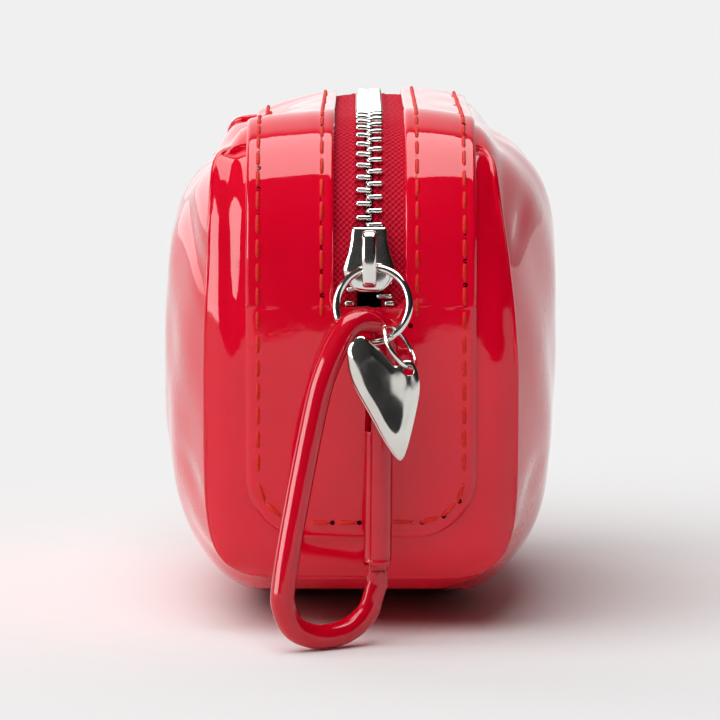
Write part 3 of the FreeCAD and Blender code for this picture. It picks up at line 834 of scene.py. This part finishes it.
def make_band():
    """Leather strip with the zip's window; two wings joined by the solid tab below each window."""
    wing = 14
    columns = 2 * wing + 1
    runs = band_runs()
    places = []
    for run in runs:
        outer = band_half_width_at(run)
        window = window_half_width_at(run)
        for c in range(columns):
            side = -1 if c < wing else 1
            u = abs(c - wing) / wing
            eased = 0.5 - 0.5 * math.cos(math.pi * u) if window > 0.0 else u
            places.append((mix(ZIP_X + side * window, side * outer, mix(u, eased, 0.6)), run))
    # beside the window the middle column is the right wing's edge, so the left wing's edge is added
    left_edge = {}
    for r, run in enumerate(runs):
        window = window_half_width_at(run)
        if window > 0.0:
            left_edge[r] = len(places)
            places.append((ZIP_X - window, run))
    faces = []
    for a, b, e, d in grid_faces(len(runs), columns):
        if b % columns == wing:
            row = b // columns
            b = left_edge.get(row, b)
            e = left_edge.get(row + 1, e)
        faces.append((a, b, e, d))
    points = [skin_point(x, run, band_lift(x, run)) for x, run in places]
    obj = new_object("band_leather", points, faces, "pouch", "patent_leather", BAND)
    add_uv(obj, places)
    face_outwards(obj)
    thicken(obj, BAND_THICK + 0.5)
    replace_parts(obj, "zip_band")


# ---- zip ----

TAPE_INNER = 2.2
TAPE_FOOT = 48.0
TAPE_STEP = 0.9
RIB_PITCH = 1.8
TEETH_FOOT = 53.4
TOOTH_PITCH = 2.2
TOOTH_BACK = 2.15
TOOTH_REACH = 0.45
STOP_LOW = -0.05
STOP_HIGH = 0.8
FAR_STOP_LENGTH = 1.8
TAPE_SECTION = (
    # distance out from the tape's inner edge, height: a bead under the teeth, a ridge, then flat cloth
    (-1.7, -0.60), (-1.55, -0.30), (-1.3, -0.12), (-1.0, -0.12), (-0.75, -0.30), (-0.6, -0.42),
    (-0.3, -0.30), (0.0, -0.10), (0.3, -0.02), (0.6, -0.10), (0.8, -0.20), (1.3, -0.18), (2.0, -0.16),
    (2.7, -0.18), (3.2, -0.18), (4.5, -0.22), (6.5, -0.25), (9.8, -0.25),
)


def make_tape(side, name, node):
    """Woven tape with a ribbed edge bead beside the teeth."""
    runs = []
    run = TAPE_FOOT
    while run < PATH_END - TAPE_FOOT:
        runs.append(run)
        run += TAPE_STEP
    points = []
    places = []
    for run in runs:
        rib = 0.05 * math.sin(2.0 * math.pi * run / RIB_PITCH)
        for offset, height in TAPE_SECTION:
            part = parting(run) * (1.0 - smooth(offset, 0.0, 3.0)) * 0.9
            x = ZIP_X + side * (TAPE_INNER + offset + part)
            points.append(skin_point(x, run, height - 0.08 + rib))
            places.append((x, run))
    obj = new_object(name, points, grid_faces(len(runs), len(TAPE_SECTION)), "pouch", "zip_tape", TAPE)
    add_uv(obj, places)
    face_outwards(obj)
    thicken(obj, 0.45)
    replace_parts(obj, node)


def tooth(side, run, shift):
    """One tooth: a crowned clamp on the tape's edge with a narrower head that meshes past the middle."""
    stations = (
        # place across, half width along the zip, half height
        (TOOTH_BACK, 0.14, 0.30),
        (TOOTH_BACK - 0.10, 0.32, 0.62),
        (TOOTH_BACK - 0.35, 0.41, 0.76),
        (TOOTH_BACK - 0.95, 0.42, 0.76),
        (TOOTH_BACK - 1.45, 0.41, 0.72),
        (0.45, 0.36, 0.62),
        (0.20, 0.40, 0.58),
        (-0.05, 0.44, 0.52),
        (-TOOTH_REACH + 0.12, 0.36, 0.40),
        (-TOOTH_REACH, 0.14, 0.20),
    )
    vertices = []
    for place, half_width, half_height in stations:
        x = ZIP_X + side * (place + shift)
        ring = oval(12, half_width, half_height, 3.5, 0.5)
        vertices += [skin_point(x, run + c, 0.05 + s) for c, s in ring]
    return vertices, capped_faces(len(stations), 12)


def parting(run):
    """How far the teeth stand apart in the slider's mouth."""
    return 1.5 * max(0.0, min(1.0, (60.5 - run) / 3.0))


def make_teeth(side, name, node):
    """All the teeth of one side, half a pitch out of step with the other side."""
    parts = []
    run = TEETH_FOOT + (0.5 if side > 0 else 0.5 + TOOTH_PITCH / 2.0)
    while run < PATH_END - TEETH_FOOT - FAR_STOP_LENGTH - 0.6:
        parts.append(tooth(side, run, parting(run)))
        run += TOOTH_PITCH
    obj = new_object(name, *merged(parts), "pouch", "nickel", CHAIN_METAL)
    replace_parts(obj, node)


def rounded_block(x0, x1, run0, run1, low, high):
    """Pillow-shaped block on the zip's path."""
    sides = 16
    rings = 9
    vertices = []
    for r in range(rings):
        v = (-1.0 + 2.0 * r / (rings - 1)) * 0.999
        scale = (1.0 - abs(v) ** 4.0) ** 0.25
        x = mix(x0, x1, (v + 1.0) / 2.0)
        ring = oval(sides, (run1 - run0) / 2.0 * scale, (high - low) / 2.0 * scale, 4.0, 0.5)
        vertices += [skin_point(x, (run0 + run1) / 2.0 + c, (low + high) / 2.0 + s) for c, s in ring]
    return vertices, capped_faces(rings, sides)


def make_stops():
    """Two small clips at the near end and one wide clip at the far end."""
    foot = WINDOW_FOOT + 0.15
    near = []
    for x in (ZIP_X - TAPE_INNER - 1.7, ZIP_X + TAPE_INNER + 0.1):
        near.append(rounded_block(x, x + 1.6, foot, foot + 0.85, STOP_LOW, STOP_HIGH))
    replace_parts(new_object("stops_near", *merged(near), "pouch", "nickel", CHAIN_METAL), "zip_stops_near")
    run = PATH_END - WINDOW_FOOT - 0.3
    far = rounded_block(ZIP_X - 2.6, ZIP_X + 2.6, run - FAR_STOP_LENGTH, run, STOP_LOW, STOP_HIGH)
    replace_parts(new_object("stop_far", *far, "pouch", "nickel", CHAIN_METAL), "zip_stop_far")


# ---- slider ----

SLIDER_LOW = slider_low.z / MM
SLIDER_HIGH = slider_high.z / MM
SLIDER_FACE = slider_low.y / MM
BRIDGE_FACE = bridge_low.y / MM
COVER_HEIGHT = 1.75
INNER_PLATE_R = 19.7      # the inner plate follows the corner, a little inside the chain
POST_Z = 56.5


def slider_half_width(z):
    """Bell outline: narrow at the head, widest at the shoulders, drawn in again to the tip."""
    marks = ((54.6, 1.2), (54.8, 1.9), (55.2, 2.6), (55.8, 3.2), (56.6, 3.75), (57.4, 4.05), (58.2, 4.15),
             (59.4, 3.75), (61.0, 3.25), (63.0, 2.9), (64.7, 2.75))
    for (z0, w0), (z1, w1) in zip(marks, marks[1:]):
        if z <= z1:
            return mix(w0, w1, smooth(z, z0, z1) * 0.5 + 0.5 * (z - z0) / (z1 - z0))
    return marks[-1][1]


def make_slider():
    """Domed cover plate with turned-down flanges, the inner plate and the post between them."""
    rows = 34
    across = 28
    points = []
    for r in range(rows):
        v = -math.cos(math.pi * r / (rows - 1))
        z = mix(SLIDER_LOW, SLIDER_HIGH, (v + 1.0) / 2.0)
        end = (1.0 - abs(v * 0.999) ** 9.0) ** (1.0 / 9.0)
        half = slider_half_width(z) * mix(0.86, 1.0, end)
        for c in range(across):
            a = math.pi * (0.02 + 0.96 * c / (across - 1))
            x, lift = superellipse(a, half, COVER_HEIGHT * end, 9.0)
            dome = 0.10 * (1.0 - (x / half) ** 2) * end
            points.append(Vector((ZIP_X + x, SLIDER_FACE + COVER_HEIGHT - lift + 0.12 - dome, z)))
    obj = new_object("slider_cover", points, grid_faces(rows, across), "slider", "nickel", NICKEL)
    thicken(obj, 0.35)
    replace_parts(obj, "slider_body")
    make_inner_plate()
    post = [Vector((ZIP_X, y, POST_Z)) for y in (-55.3, -54.6, -53.8, -53.0, -52.4)]
    new_object("slider_post", *tube(post, 0.55, 16), "slider", "nickel", NICKEL)


def make_inner_plate():
    """The slider's plate behind the chain, bent round the corner with it."""
    rows = 13
    across = 9
    points = []
    for r in range(rows):
        z = mix(SLIDER_LOW + 0.2, SLIDER_HIGH - 0.2, r / (rows - 1))
        half = slider_half_width(z) - 0.2
        y = -CORNER_Y - math.sqrt(INNER_PLATE_R ** 2 - max(0.0, z - CORNER_Z) ** 2)
        points += [Vector((ZIP_X + mix(-half, half, c / (across - 1)), y, z)) for c in range(across)]
    obj = new_object("slider_inner_plate", points, grid_faces(rows, across), "slider", "nickel", NICKEL)
    thicken(obj, 0.8, 0.0, 0.2)


def strap(path, half_width, half_thick):
    """Flat strap swept along points of the YZ plane, with rounded edges."""
    sides = 20
    vertices = []
    for i, (y, z) in enumerate(path):
        y0, z0 = path[max(0, i - 1)]
        y1, z1 = path[min(len(path) - 1, i + 1)]
        length = math.hypot(y1 - y0, z1 - z0)
        ny, nz = -(z1 - z0) / length, (y1 - y0) / length
        ring = oval(sides, half_width, half_thick, 3.2)
        vertices += [Vector((ZIP_X + c, y + ny * s, z + nz * s)) for c, s in ring]
    return vertices, capped_faces(len(path), sides)


def make_bridge():
    """Staple on the slider's face, with a rounded bend at each foot."""
    root = SLIDER_FACE + 0.3
    out = BRIDGE_FACE + 0.4
    low = bridge_low.z / MM + 0.4
    high = bridge_high.z / MM - 0.4
    bend = 1.2
    turns = [math.pi / 2.0 * k / 8 for k in range(9)]
    path = [(root, low), (mix(root, out, 0.35), low)]
    path += [(out + bend * (1.0 - math.sin(a)), low + bend * (1.0 - math.cos(a))) for a in turns]
    path += [(out - hollow, mix(low, high, t)) for hollow, t in ((0.12, 0.35), (0.15, 0.5), (0.12, 0.65))]
    path += [(out + bend * (1.0 - math.cos(a)), high - bend * (1.0 - math.sin(a))) for a in turns]
    path += [(mix(root, out, 0.35), high), (root, high)]
    obj = new_object("slider_staple", *strap(path, 1.1, 0.4), "slider", "nickel", NICKEL)
    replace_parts(obj, "slider_bridge")


# ---- ring, charm and clip ----

RING_CUT = math.radians(205.0)     # where the wire is cut, and half of the cut's angle
RING_GAP = 0.012
RING_R = 5.78
RING_WIRE = 0.62
RING_CENTRE = Vector((1.83, -58.63, 52.95))
RING_TURN = Matrix.Rotation(math.radians(-14.4), 3, "Z") @ Matrix.Rotation(math.radians(-14.5), 3, "X")


def open_turn(cut, gap, count):
    """Angles round a wire ring, from one side of its cut to the other."""
    return [cut + gap + (2.0 * math.pi - 2.0 * gap) * k / count for k in range(count + 1)]


def make_ring():
    """Round wire ring, cut once, with its ends nearly touching."""
    line = []
    for a in open_turn(RING_CUT, RING_GAP, 120):
        line.append(RING_CENTRE + RING_TURN @ Vector((RING_R * math.cos(a), 0.0, RING_R * math.sin(a))))
    obj = new_object("ring_wire", *tube(line, RING_WIRE, 20), "ring", "nickel", NICKEL)
    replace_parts(obj, "jump_ring")


CHARM_Y = -64.2
CHARM_HALF = 1.3
CHARM_HOLE = (7.3, 43.5)
HEART = (
    (-2.1, 45.5), (-1.75, 42.9), (-0.8, 40.4), (1.4, 36.4), (3.6, 32.4), (5.5, 29.8), (6.4, 29.8),
    (7.2, 31.8), (8.4, 36.8), (9.0, 40.6), (8.7, 43.3), (7.9, 44.8), (6.6, 45.0), (5.3, 44.2),
    (3.6, 46.0), (1.8, 47.5), (0.3, 48.7), (-1.0, 48.3), (-1.9, 47.1),
)


def spline_point(marks, position, closed=True):
    """Catmull-Rom curve through marks of any dimension."""
    count = len(marks)
    i = int(math.floor(position))
    t = position - i
    order = (i - 1, i, i + 1, i + 2)
    picks = [marks[k % count if closed else max(0, min(count - 1, k))] for k in order]
    result = []
    for p, q, r, s in zip(*picks):
        bend = (2.0 * p - 5.0 * q + 4.0 * r - s) * t * t + (3.0 * q - p - 3.0 * r + s) * t ** 3
        result.append(0.5 * (2.0 * q + (r - p) * t + bend))
    return result


def heart_height(inward, x, z):
    """Height of the puffed face: a rounded edge, then a dome that falls away right of a slanting ridge."""
    rim = 0.35 * math.sqrt(max(0.0, 1.0 - (1.0 - min(1.0, inward / 0.06)) ** 2))
    dome = (CHARM_HALF - 0.35) * math.sin(math.pi / 2.0 * min(1.0, inward / 0.40))
    from_ridge = (x + 0.5) * 0.906 + (z - 46.0) * 0.423
    slope = 0.544 * smooth(from_ridge, -1.6, 3.4)
    return rim + max(0.1, dome - slope * smooth(inward, 0.0, 0.3))


def make_charm():
    """Puffed heart with a fine rim and a drilled hole, cast a little uneven."""
    per_mark = 9
    rings = 26
    count = len(HEART) * per_mark
    outline = [spline_point(HEART, k / per_mark) for k in range(count)]
    middle_x = sum(x for x, z in outline) / count + 0.2
    middle_z = sum(z for x, z in outline) / count
    vertices = []
    for face_side in (-1, 1):
        for r in range(rings):
            inward = (r / rings) ** 1.5
            for edge_x, edge_z in outline:
                x = mix(edge_x, middle_x, inward)
                z = mix(edge_z, middle_z, inward)
                uneven = 0.05 * math.sin(x * 0.9 + 0.4) * math.sin(z * 0.7) * smooth(inward, 0.1, 0.4)
                vertices.append(Vector((x, CHARM_Y + face_side * (heart_height(inward, x, z) + uneven), z)))
    half = rings * count
    front = grid_faces(rings, count, closed=True)
    front.append(tuple((rings - 1) * count + k for k in range(count)))
    faces = front + [tuple(half + i for i in face) for face in front]
    faces += [(k, (k + 1) % count, half + (k + 1) % count, half + k) for k in range(count)]
    obj = new_object("heart_puffed", vertices, faces, "charm", "nickel", CHARM_METAL)
    drill(obj, CHARM_HOLE, 0.8)
    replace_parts(obj, "heart_charm")


def drill(obj, place, radius):
    """Cut a round hole along Y."""
    weld = obj.modifiers.new("weld", "WELD")
    weld.merge_threshold = 0.000002
    line = [Vector((place[0], CHARM_Y + reach, place[1])) for reach in (-4.0, 4.0)]
    cut_away(obj, "hole", *tube(line, radius, 28))


LOOP_CUT = math.radians(200.0)
LOOP_GAP = 0.02
LOOP_R = 3.8
LOOP_WIRE = 0.35
LOOP_CENTRE = Vector((5.9, -62.15, 46.82))
LOOP_SLOPE = math.radians(56.6)
LOOP_YAW = math.radians(-20.7)


def make_loop():
    """Thin split loop that carries the charm on the ring."""
    flat = Vector((math.cos(LOOP_YAW), math.sin(LOOP_YAW), 0.0))
    down = flat * math.cos(LOOP_SLOPE) - Vector((0.0, 0.0, math.sin(LOOP_SLOPE)))
    level = Vector((-flat.y, flat.x, 0.0))
    line = []
    for a in open_turn(LOOP_CUT, LOOP_GAP, 90):
        line.append(LOOP_CENTRE + LOOP_R * (down * math.cos(a) + level * math.sin(a)))
    obj = new_object("loop_wire", *tube(line, LOOP_WIRE, 14), "charm", "nickel", NICKEL)
    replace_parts(obj, "charm_loop")


CLIP_ORIGIN = Vector((-4.0, -61.35, 0.01))
CLIP_TURN = Matrix.Rotation(math.radians(32.3), 3, "Z") @ Matrix.Rotation(math.radians(1.2), 3, "X")
CLIP_WIRE = 1.90
NECK_WIDE = 1.75          # the wire's half sizes where it is hammered flat
NECK_DEEP = 0.95
CLIP_LINE = (
    (7.57, 37.7), (8.16, 42.0), (8.64, 46.2), (7.45, 49.4), (4.97, 50.6), (2.13, 50.0),
    (0.0, 47.4), (-2.13, 43.3), (-3.67, 38.8), (-6.15, 28.0), (-8.28, 17.5), (-9.35, 11.0),
    (-9.46, 7.5), (-7.69, 4.0), (-4.61, 2.4), (-1.42, 2.0), (2.37, 2.7), (5.68, 5.0), (7.45, 9.2),
    (7.57, 11.6),
)
GATE_U = 7.57
GATE_LOW = 12.4
GATE_HIGH = 37.0
GATE_R = 2.2
GATE_WALL = 0.75
PIVOT_W = 14.6
SLOT_HALF = 0.85
NOSE_SLOT_LOW = 33.4
NECK_SLOT_HIGH = 17.2
FOOT_SLOT_HIGH = 13.0


def on_clip(u, v, w):
    """Place in the pouch's frame of a point in the clip's own plane."""
    return CLIP_ORIGIN + CLIP_TURN @ Vector((u, v, w))


def make_clip():
    """Bent enamelled wire: round along the back, hammered flat towards the neck, with a nose and a neck."""
    sides = 28
    steps = 9
    last = len(CLIP_LINE) - 1.0
    count = int(last) * steps
    vertices = []
    for k in range(count + 1):
        position = k / steps
        u, w = spline_point(CLIP_LINE, min(position, last - 0.0001), closed=False)
        u2, w2 = spline_point(CLIP_LINE, min(position + 0.02, last), closed=False)
        u1, w1 = spline_point(CLIP_LINE, max(0.0, position - 0.02), closed=False)
        length = math.hypot(u2 - u1, w2 - w1)
        nu, nw = -(w2 - w1) / length, (u2 - u1) / length
        neck = smooth(position, 15.2, 18.3)
        tip = max(0.0, 1.0 - position / 0.35)
        end = math.sqrt(max(0.05, 1.0 - tip ** 2))
        wide = mix(CLIP_WIRE, NECK_WIDE, neck) * end
        deep = mix(CLIP_WIRE, NECK_DEEP, neck) * end
        for m, (c, s) in enumerate(oval(sides, wide, deep, mix(2.0, 3.2, neck))):
            dent = 1.0 - 0.10 * neck * hammer_mark(position, 2.0 * math.pi * m / sides)
            vertices.append(on_clip(u + nu * c * dent, s * dent, w + nw * c * dent))
    nose = plate_on_clip(GATE_U - 1.1, GATE_U + 1.1, 34.1, 38.8, 0.62)
    tongue = plate_on_clip(GATE_U - 1.5, GATE_U + 1.5, 10.0, PIVOT_W + 1.6, 0.75)
    shape = merged([(vertices, capped_faces(count + 1, sides)), nose, tongue])
    obj = new_object("clip_wire", *shape, "clip", "red_enamel", ENAMEL_RED)
    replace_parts(obj, "clip_frame")


def hammer_mark(position, angle):
    """Uneven facets left where the wire was struck flat."""
    along = math.sin(position * 7.3 + 2.0 * math.sin(angle * 2.0 + 0.6))
    return 0.5 + 0.5 * along * math.cos(angle * 3.0 + position)


def plate_on_clip(u0, u1, w0, w1, half):
    """Flat tongue in the clip's plane with rounded edges."""
    rings = 12
    sides = 24
    vertices = []
    for r in range(rings):
        v = -math.cos(math.pi * r / (rings - 1)) * 0.999
        scale = (1.0 - abs(v) ** 4.0) ** 0.25
        w = mix(w0, w1, (v + 1.0) / 2.0)
        ring = oval(sides, (u1 - u0) / 2.0 * scale, half * mix(0.6, 1.0, scale), 4.0)
        vertices += [on_clip((u0 + u1) / 2.0 + c, s, w) for c, s in ring]
    return vertices, capped_faces(rings, sides)


def gate_outline(w):
    """Radius of the gate tube: slightly swaged ends with a small rounded lip."""
    end = min(w - GATE_LOW, GATE_HIGH - w)
    swage = 0.12 * math.exp(-max(0.0, end) / 0.22)
    return GATE_R * (1.0 - swage) - 0.10 * math.exp(-((end - 1.2) / 0.35) ** 2)


def make_gate():
    """Enamelled tube, bored out, with a slot for the nose at the top and one for the neck below."""
    sides = 48
    rows = [GATE_LOW + (GATE_HIGH - GATE_LOW) * (0.5 - 0.5 * math.cos(math.pi * k / 70)) for k in range(71)]
    rings = [(w, gate_outline(w)) for w in rows]
    rings += [(w, gate_outline(w) - GATE_WALL) for w in reversed(rows)]
    vertices = []
    for w, r in rings:
        for k in range(sides):
            a = 2.0 * math.pi * k / sides
            vertices.append(on_clip(GATE_U + r * math.cos(a), r * math.sin(a), w))
    faces = looped_faces(len(rings), sides)
    obj = new_object("gate_tube", vertices, faces, "gate", "red_enamel", ENAMEL_RED)
    cut_slot(obj, NOSE_SLOT_LOW, GATE_HIGH + 1.5, -4.0, 4.0)
    cut_slot(obj, GATE_LOW - 1.5, NECK_SLOT_HIGH, 0.0, 4.0)
    cut_slot(obj, GATE_LOW - 1.5, FOOT_SLOT_HIGH, -4.0, 0.5)
    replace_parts(obj, "clip_gate")


def cut_slot(obj, w0, w1, u0, u1):
    """Saw a slot into the gate tube in the clip's plane."""
    corners = []
    for w in (w0, w1):
        for u, v in ((u0, -SLOT_HALF), (u1, -SLOT_HALF), (u1, SLOT_HALF), (u0, SLOT_HALF)):
            corners.append(on_clip(GATE_U + u, v, w))
    walls = [(k, (k + 1) % 4, (k + 1) % 4 + 4, k + 4) for k in range(4)]
    cut_away(obj, "slot", corners, [(3, 2, 1, 0), (4, 5, 6, 7)] + walls)


# ---- stitching ----

def stitch(start, end, lift):
    """One visible stitch: it rises out of the leather and dives in again, thinner at both ends."""
    (x0, run0), (x1, run1) = start, end
    steps = 8
    line = []
    radii = []
    for k in range(steps + 1):
        t = k / steps
        away = abs(2.0 * t - 1.0)
        height = lift - 0.34 + 0.46 * (1.0 - away ** 4)
        line.append(skin_point(mix(x0, x1, t), mix(run0, run1, t), height))
        radii.append(THREAD_R * mix(0.75, 1.0, 1.0 - away ** 3))
    return tube(line, radii, 10)


def needle_hole_shade_disc(x, run, lift):
    """Small dimple where the thread goes through; its near-black colour is the hole's painted shade."""
    sides = 10
    vertices = [skin_point(x, run, lift - 0.02)]
    for k in range(sides):
        a = 2.0 * math.pi * k / sides
        vertices.append(skin_point(x + HOLE_R * math.cos(a), run + HOLE_R * math.sin(a), lift + 0.04))
    return vertices, [(0, 1 + k, 1 + (k + 1) % sides) for k in range(sides)]


def row(start, end):
    """Start and end of each stitch of a straight row, along its line."""
    count = int((end - start) / STITCH_PITCH)
    pitch = (end - start) / count
    half = STITCH_LENGTH / 2.0
    middles = [start + (k + 0.5) * pitch for k in range(count)]
    return [(middle - half, middle + half) for middle in middles]


def long_row(x, foot):
    """A row that runs the whole way over the body."""
    return [((x, a), (x, b)) for a, b in row(foot, PATH_END - foot)]


def cross_row(x0, x1, run):
    """Stitches across an end tab, at both ends of the body."""
    return [((a, place), (b, place)) for place in (run, PATH_END - run) for a, b in row(x0, x1)]


def corner_stitches():
    """Stitches round the rounded corners of the two tabs."""
    radius = TAB_R - STITCH_MARGIN
    flat = BAND_HALF_WIDTH - TAB_R
    half = STITCH_LENGTH / 2.0 / radius
    stitches = []
    for far in (False, True):
        for side in (-1, 1):
            for a in (math.radians(18.0), math.radians(45.0), math.radians(72.0)):
                ends = []
                for b in (a - half, a + half):
                    run = BAND_FOOT + TAB_R - (radius - 0.65 * math.sin(a)) * math.sin(b)
                    ends.append((side * (flat + radius * math.cos(b)), PATH_END - run if far else run))
                stitches.append(tuple(ends))
    return stitches


def make_stitches(stitches, name, node):
    """Mesh of one set of stitches, and one of small discs with painted shade for a needle hole beside each
    stitch.
    """
    gap = (STITCH_PITCH - STITCH_LENGTH) / 2.0
    threads = []
    hole_shade_discs = []
    for start, end in stitches:
        lift = band_lift((start[0] + end[0]) / 2.0, (start[1] + end[1]) / 2.0)
        threads.append(stitch(start, end, lift))
        upright = start[0] == end[0]
        x = end[0] + (0.15 if upright else gap)
        run = end[1] + (gap if upright else 0.0)
        hole_shade_discs.append(needle_hole_shade_disc(x, run, lift))
    obj = new_object(name, *merged(threads), "pouch", "thread", THREAD_RED)
    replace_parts(obj, node)
    new_object(name + "_hole_shade_discs", *merged(hole_shade_discs), "pouch", "thread", HOLE_SHADE)


def outer_stitches():
    """The row that follows the band's edge."""
    x = BAND_HALF_WIDTH - STITCH_MARGIN
    foot = BAND_FOOT + TAB_R + 0.6
    flat = BAND_HALF_WIDTH - TAB_R
    rows = long_row(-x, foot) + long_row(x, foot)
    return rows + cross_row(-flat, flat, BAND_FOOT + 2.5) + corner_stitches()


def inner_stitches():
    """The rows beside the zip and below the window."""
    foot = WINDOW_FOOT - 2.8
    rows = long_row(ZIP_X - INNER_ROW, foot + 1.0) + long_row(ZIP_X + INNER_ROW, foot + 1.0)
    return rows + cross_row(ZIP_X - INNER_ROW + 0.6, ZIP_X + INNER_ROW - 0.6, foot)


# ---- build the pieces ----

make_wrap()
make_panel(-1, "panel_near_padded", "end_panel_near")
make_panel(1, "panel_far_padded", "end_panel_far")
make_seam(-1, "seam_edge_near")
make_seam(1, "seam_edge_far")
make_lining()
make_band()
make_tape(-1, "tape_left", "zip_tape_left")
make_tape(1, "tape_right", "zip_tape_right")
make_teeth(-1, "teeth_left", "zip_teeth_left")
make_teeth(1, "teeth_right", "zip_teeth_right")
make_stops()
make_slider()
make_bridge()
make_ring()
make_charm()
make_loop()
make_clip()
make_gate()
make_stitches(outer_stitches(), "stitching_outer", "stitches_outer")
make_stitches(inner_stitches(), "stitching_inner", "stitches_inner")


def finish_cad_nodes():
    """Materials for the small CAD parts that stay in view."""
    choices = {"gate_pin": NICKEL, "gate_plunger": SPRING_STEEL, "gate_spring": SPRING_STEEL}
    for name, material in choices.items():
        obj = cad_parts[name]
        obj.data.materials.clear()
        obj.data.materials.append(material)


finish_cad_nodes()


# ---- stage, lights and camera ----

KEY_STRENGTH = 2.95
KEY_DIRECTION = Vector((0.33, 0.38, -0.865))
ROOM = 0.05               # brightness above and in front of the pouch
WALL = 1.25               # brightness behind it
FLOOR_NEAR = -0.5
FLOOR_FAR = 12.0
FLOOR_SIDE = 8.0
CAMERA_PLACE = (-0.00015, -0.805, 0.1229)
CAMERA_TILT = 84.0


def make_floor():
    """Pale table top, wide enough to run to the horizon."""
    corners = [(-FLOOR_SIDE, FLOOR_NEAR, 0.0), (FLOOR_SIDE, FLOOR_NEAR, 0.0)]
    corners += [(FLOOR_SIDE, FLOOR_FAR, 0.0), (-FLOOR_SIDE, FLOOR_FAR, 0.0)]
    mesh = bpy.data.meshes.new("floor")
    mesh.from_pydata(corners, [], [(0, 1, 2, 3)])
    mesh.materials.append(floor_material())
    add_object("floor", mesh)


def soft_box(name, place, turn, size_x, size_y, radiance):
    """Rectangular soft box that shows in reflections only; its brightness is its radiance."""
    light = bpy.data.lights.new(name, "AREA")
    light.shape = "RECTANGLE"
    light.size = size_x
    light.size_y = size_y
    light.energy = radiance * math.pi * size_x * size_y
    obj = add_object(name, light)
    obj.location = place
    obj.rotation_euler = [math.radians(a) for a in turn]
    obj.visible_diffuse = False


def key_light():
    """Broad key from the upper left in front, which gives the soft shadow on the right."""
    light = bpy.data.lights.new("key", "SUN")
    light.energy = KEY_STRENGTH
    light.angle = math.radians(70.0)
    obj = add_object("key", light)
    obj.rotation_euler = KEY_DIRECTION.to_track_quat("-Z", "Y").to_euler()
    obj.visible_glossy = False


def surround():
    """Bright wall behind the pouch, brighter on the left; a dim room above and in front."""
    world = bpy.data.worlds.new("surround")
    shader = Shader(world, "Background")
    x, y = shader.split(shader.place("Generated"))[:2]
    wall = shader.range(y, 0.40, 0.60, ROOM, WALL, "SMOOTHSTEP")
    side = shader.range(x, -0.7, 0.7, 1.5, 0.25)
    shader.put("Strength", shader.math("MULTIPLY", wall, side))
    shader.put("Color", (1.0, 1.0, 1.0, 1.0))
    bpy.context.scene.world = world


def make_lights():
    """One key for light and shadow, two boxes for the highlights, and the surround."""
    key_light()
    surround()
    soft_box("overhead", (-0.02, -0.06, 0.95), (0.0, 0.0, 0.0), 1.0, 0.82, 5.0)
    soft_box("left_box", (-0.85, -0.35, 0.30), (90.0, 0.0, -65.0), 0.7, 0.60, 6.0)


def make_camera():
    """Product view of the near end, from slightly above."""
    data = bpy.data.cameras.new("camera")
    data.sensor_width = 36.0
    data.lens = 243.8
    data.clip_end = 20.0
    camera = add_object("camera", data)
    camera.location = CAMERA_PLACE
    camera.rotation_euler = (math.radians(CAMERA_TILT), 0.0, 0.0)
    bpy.context.scene.camera = camera


make_floor()
make_lights()
make_camera()
bpy.context.scene.view_settings.view_transform = "Standard"
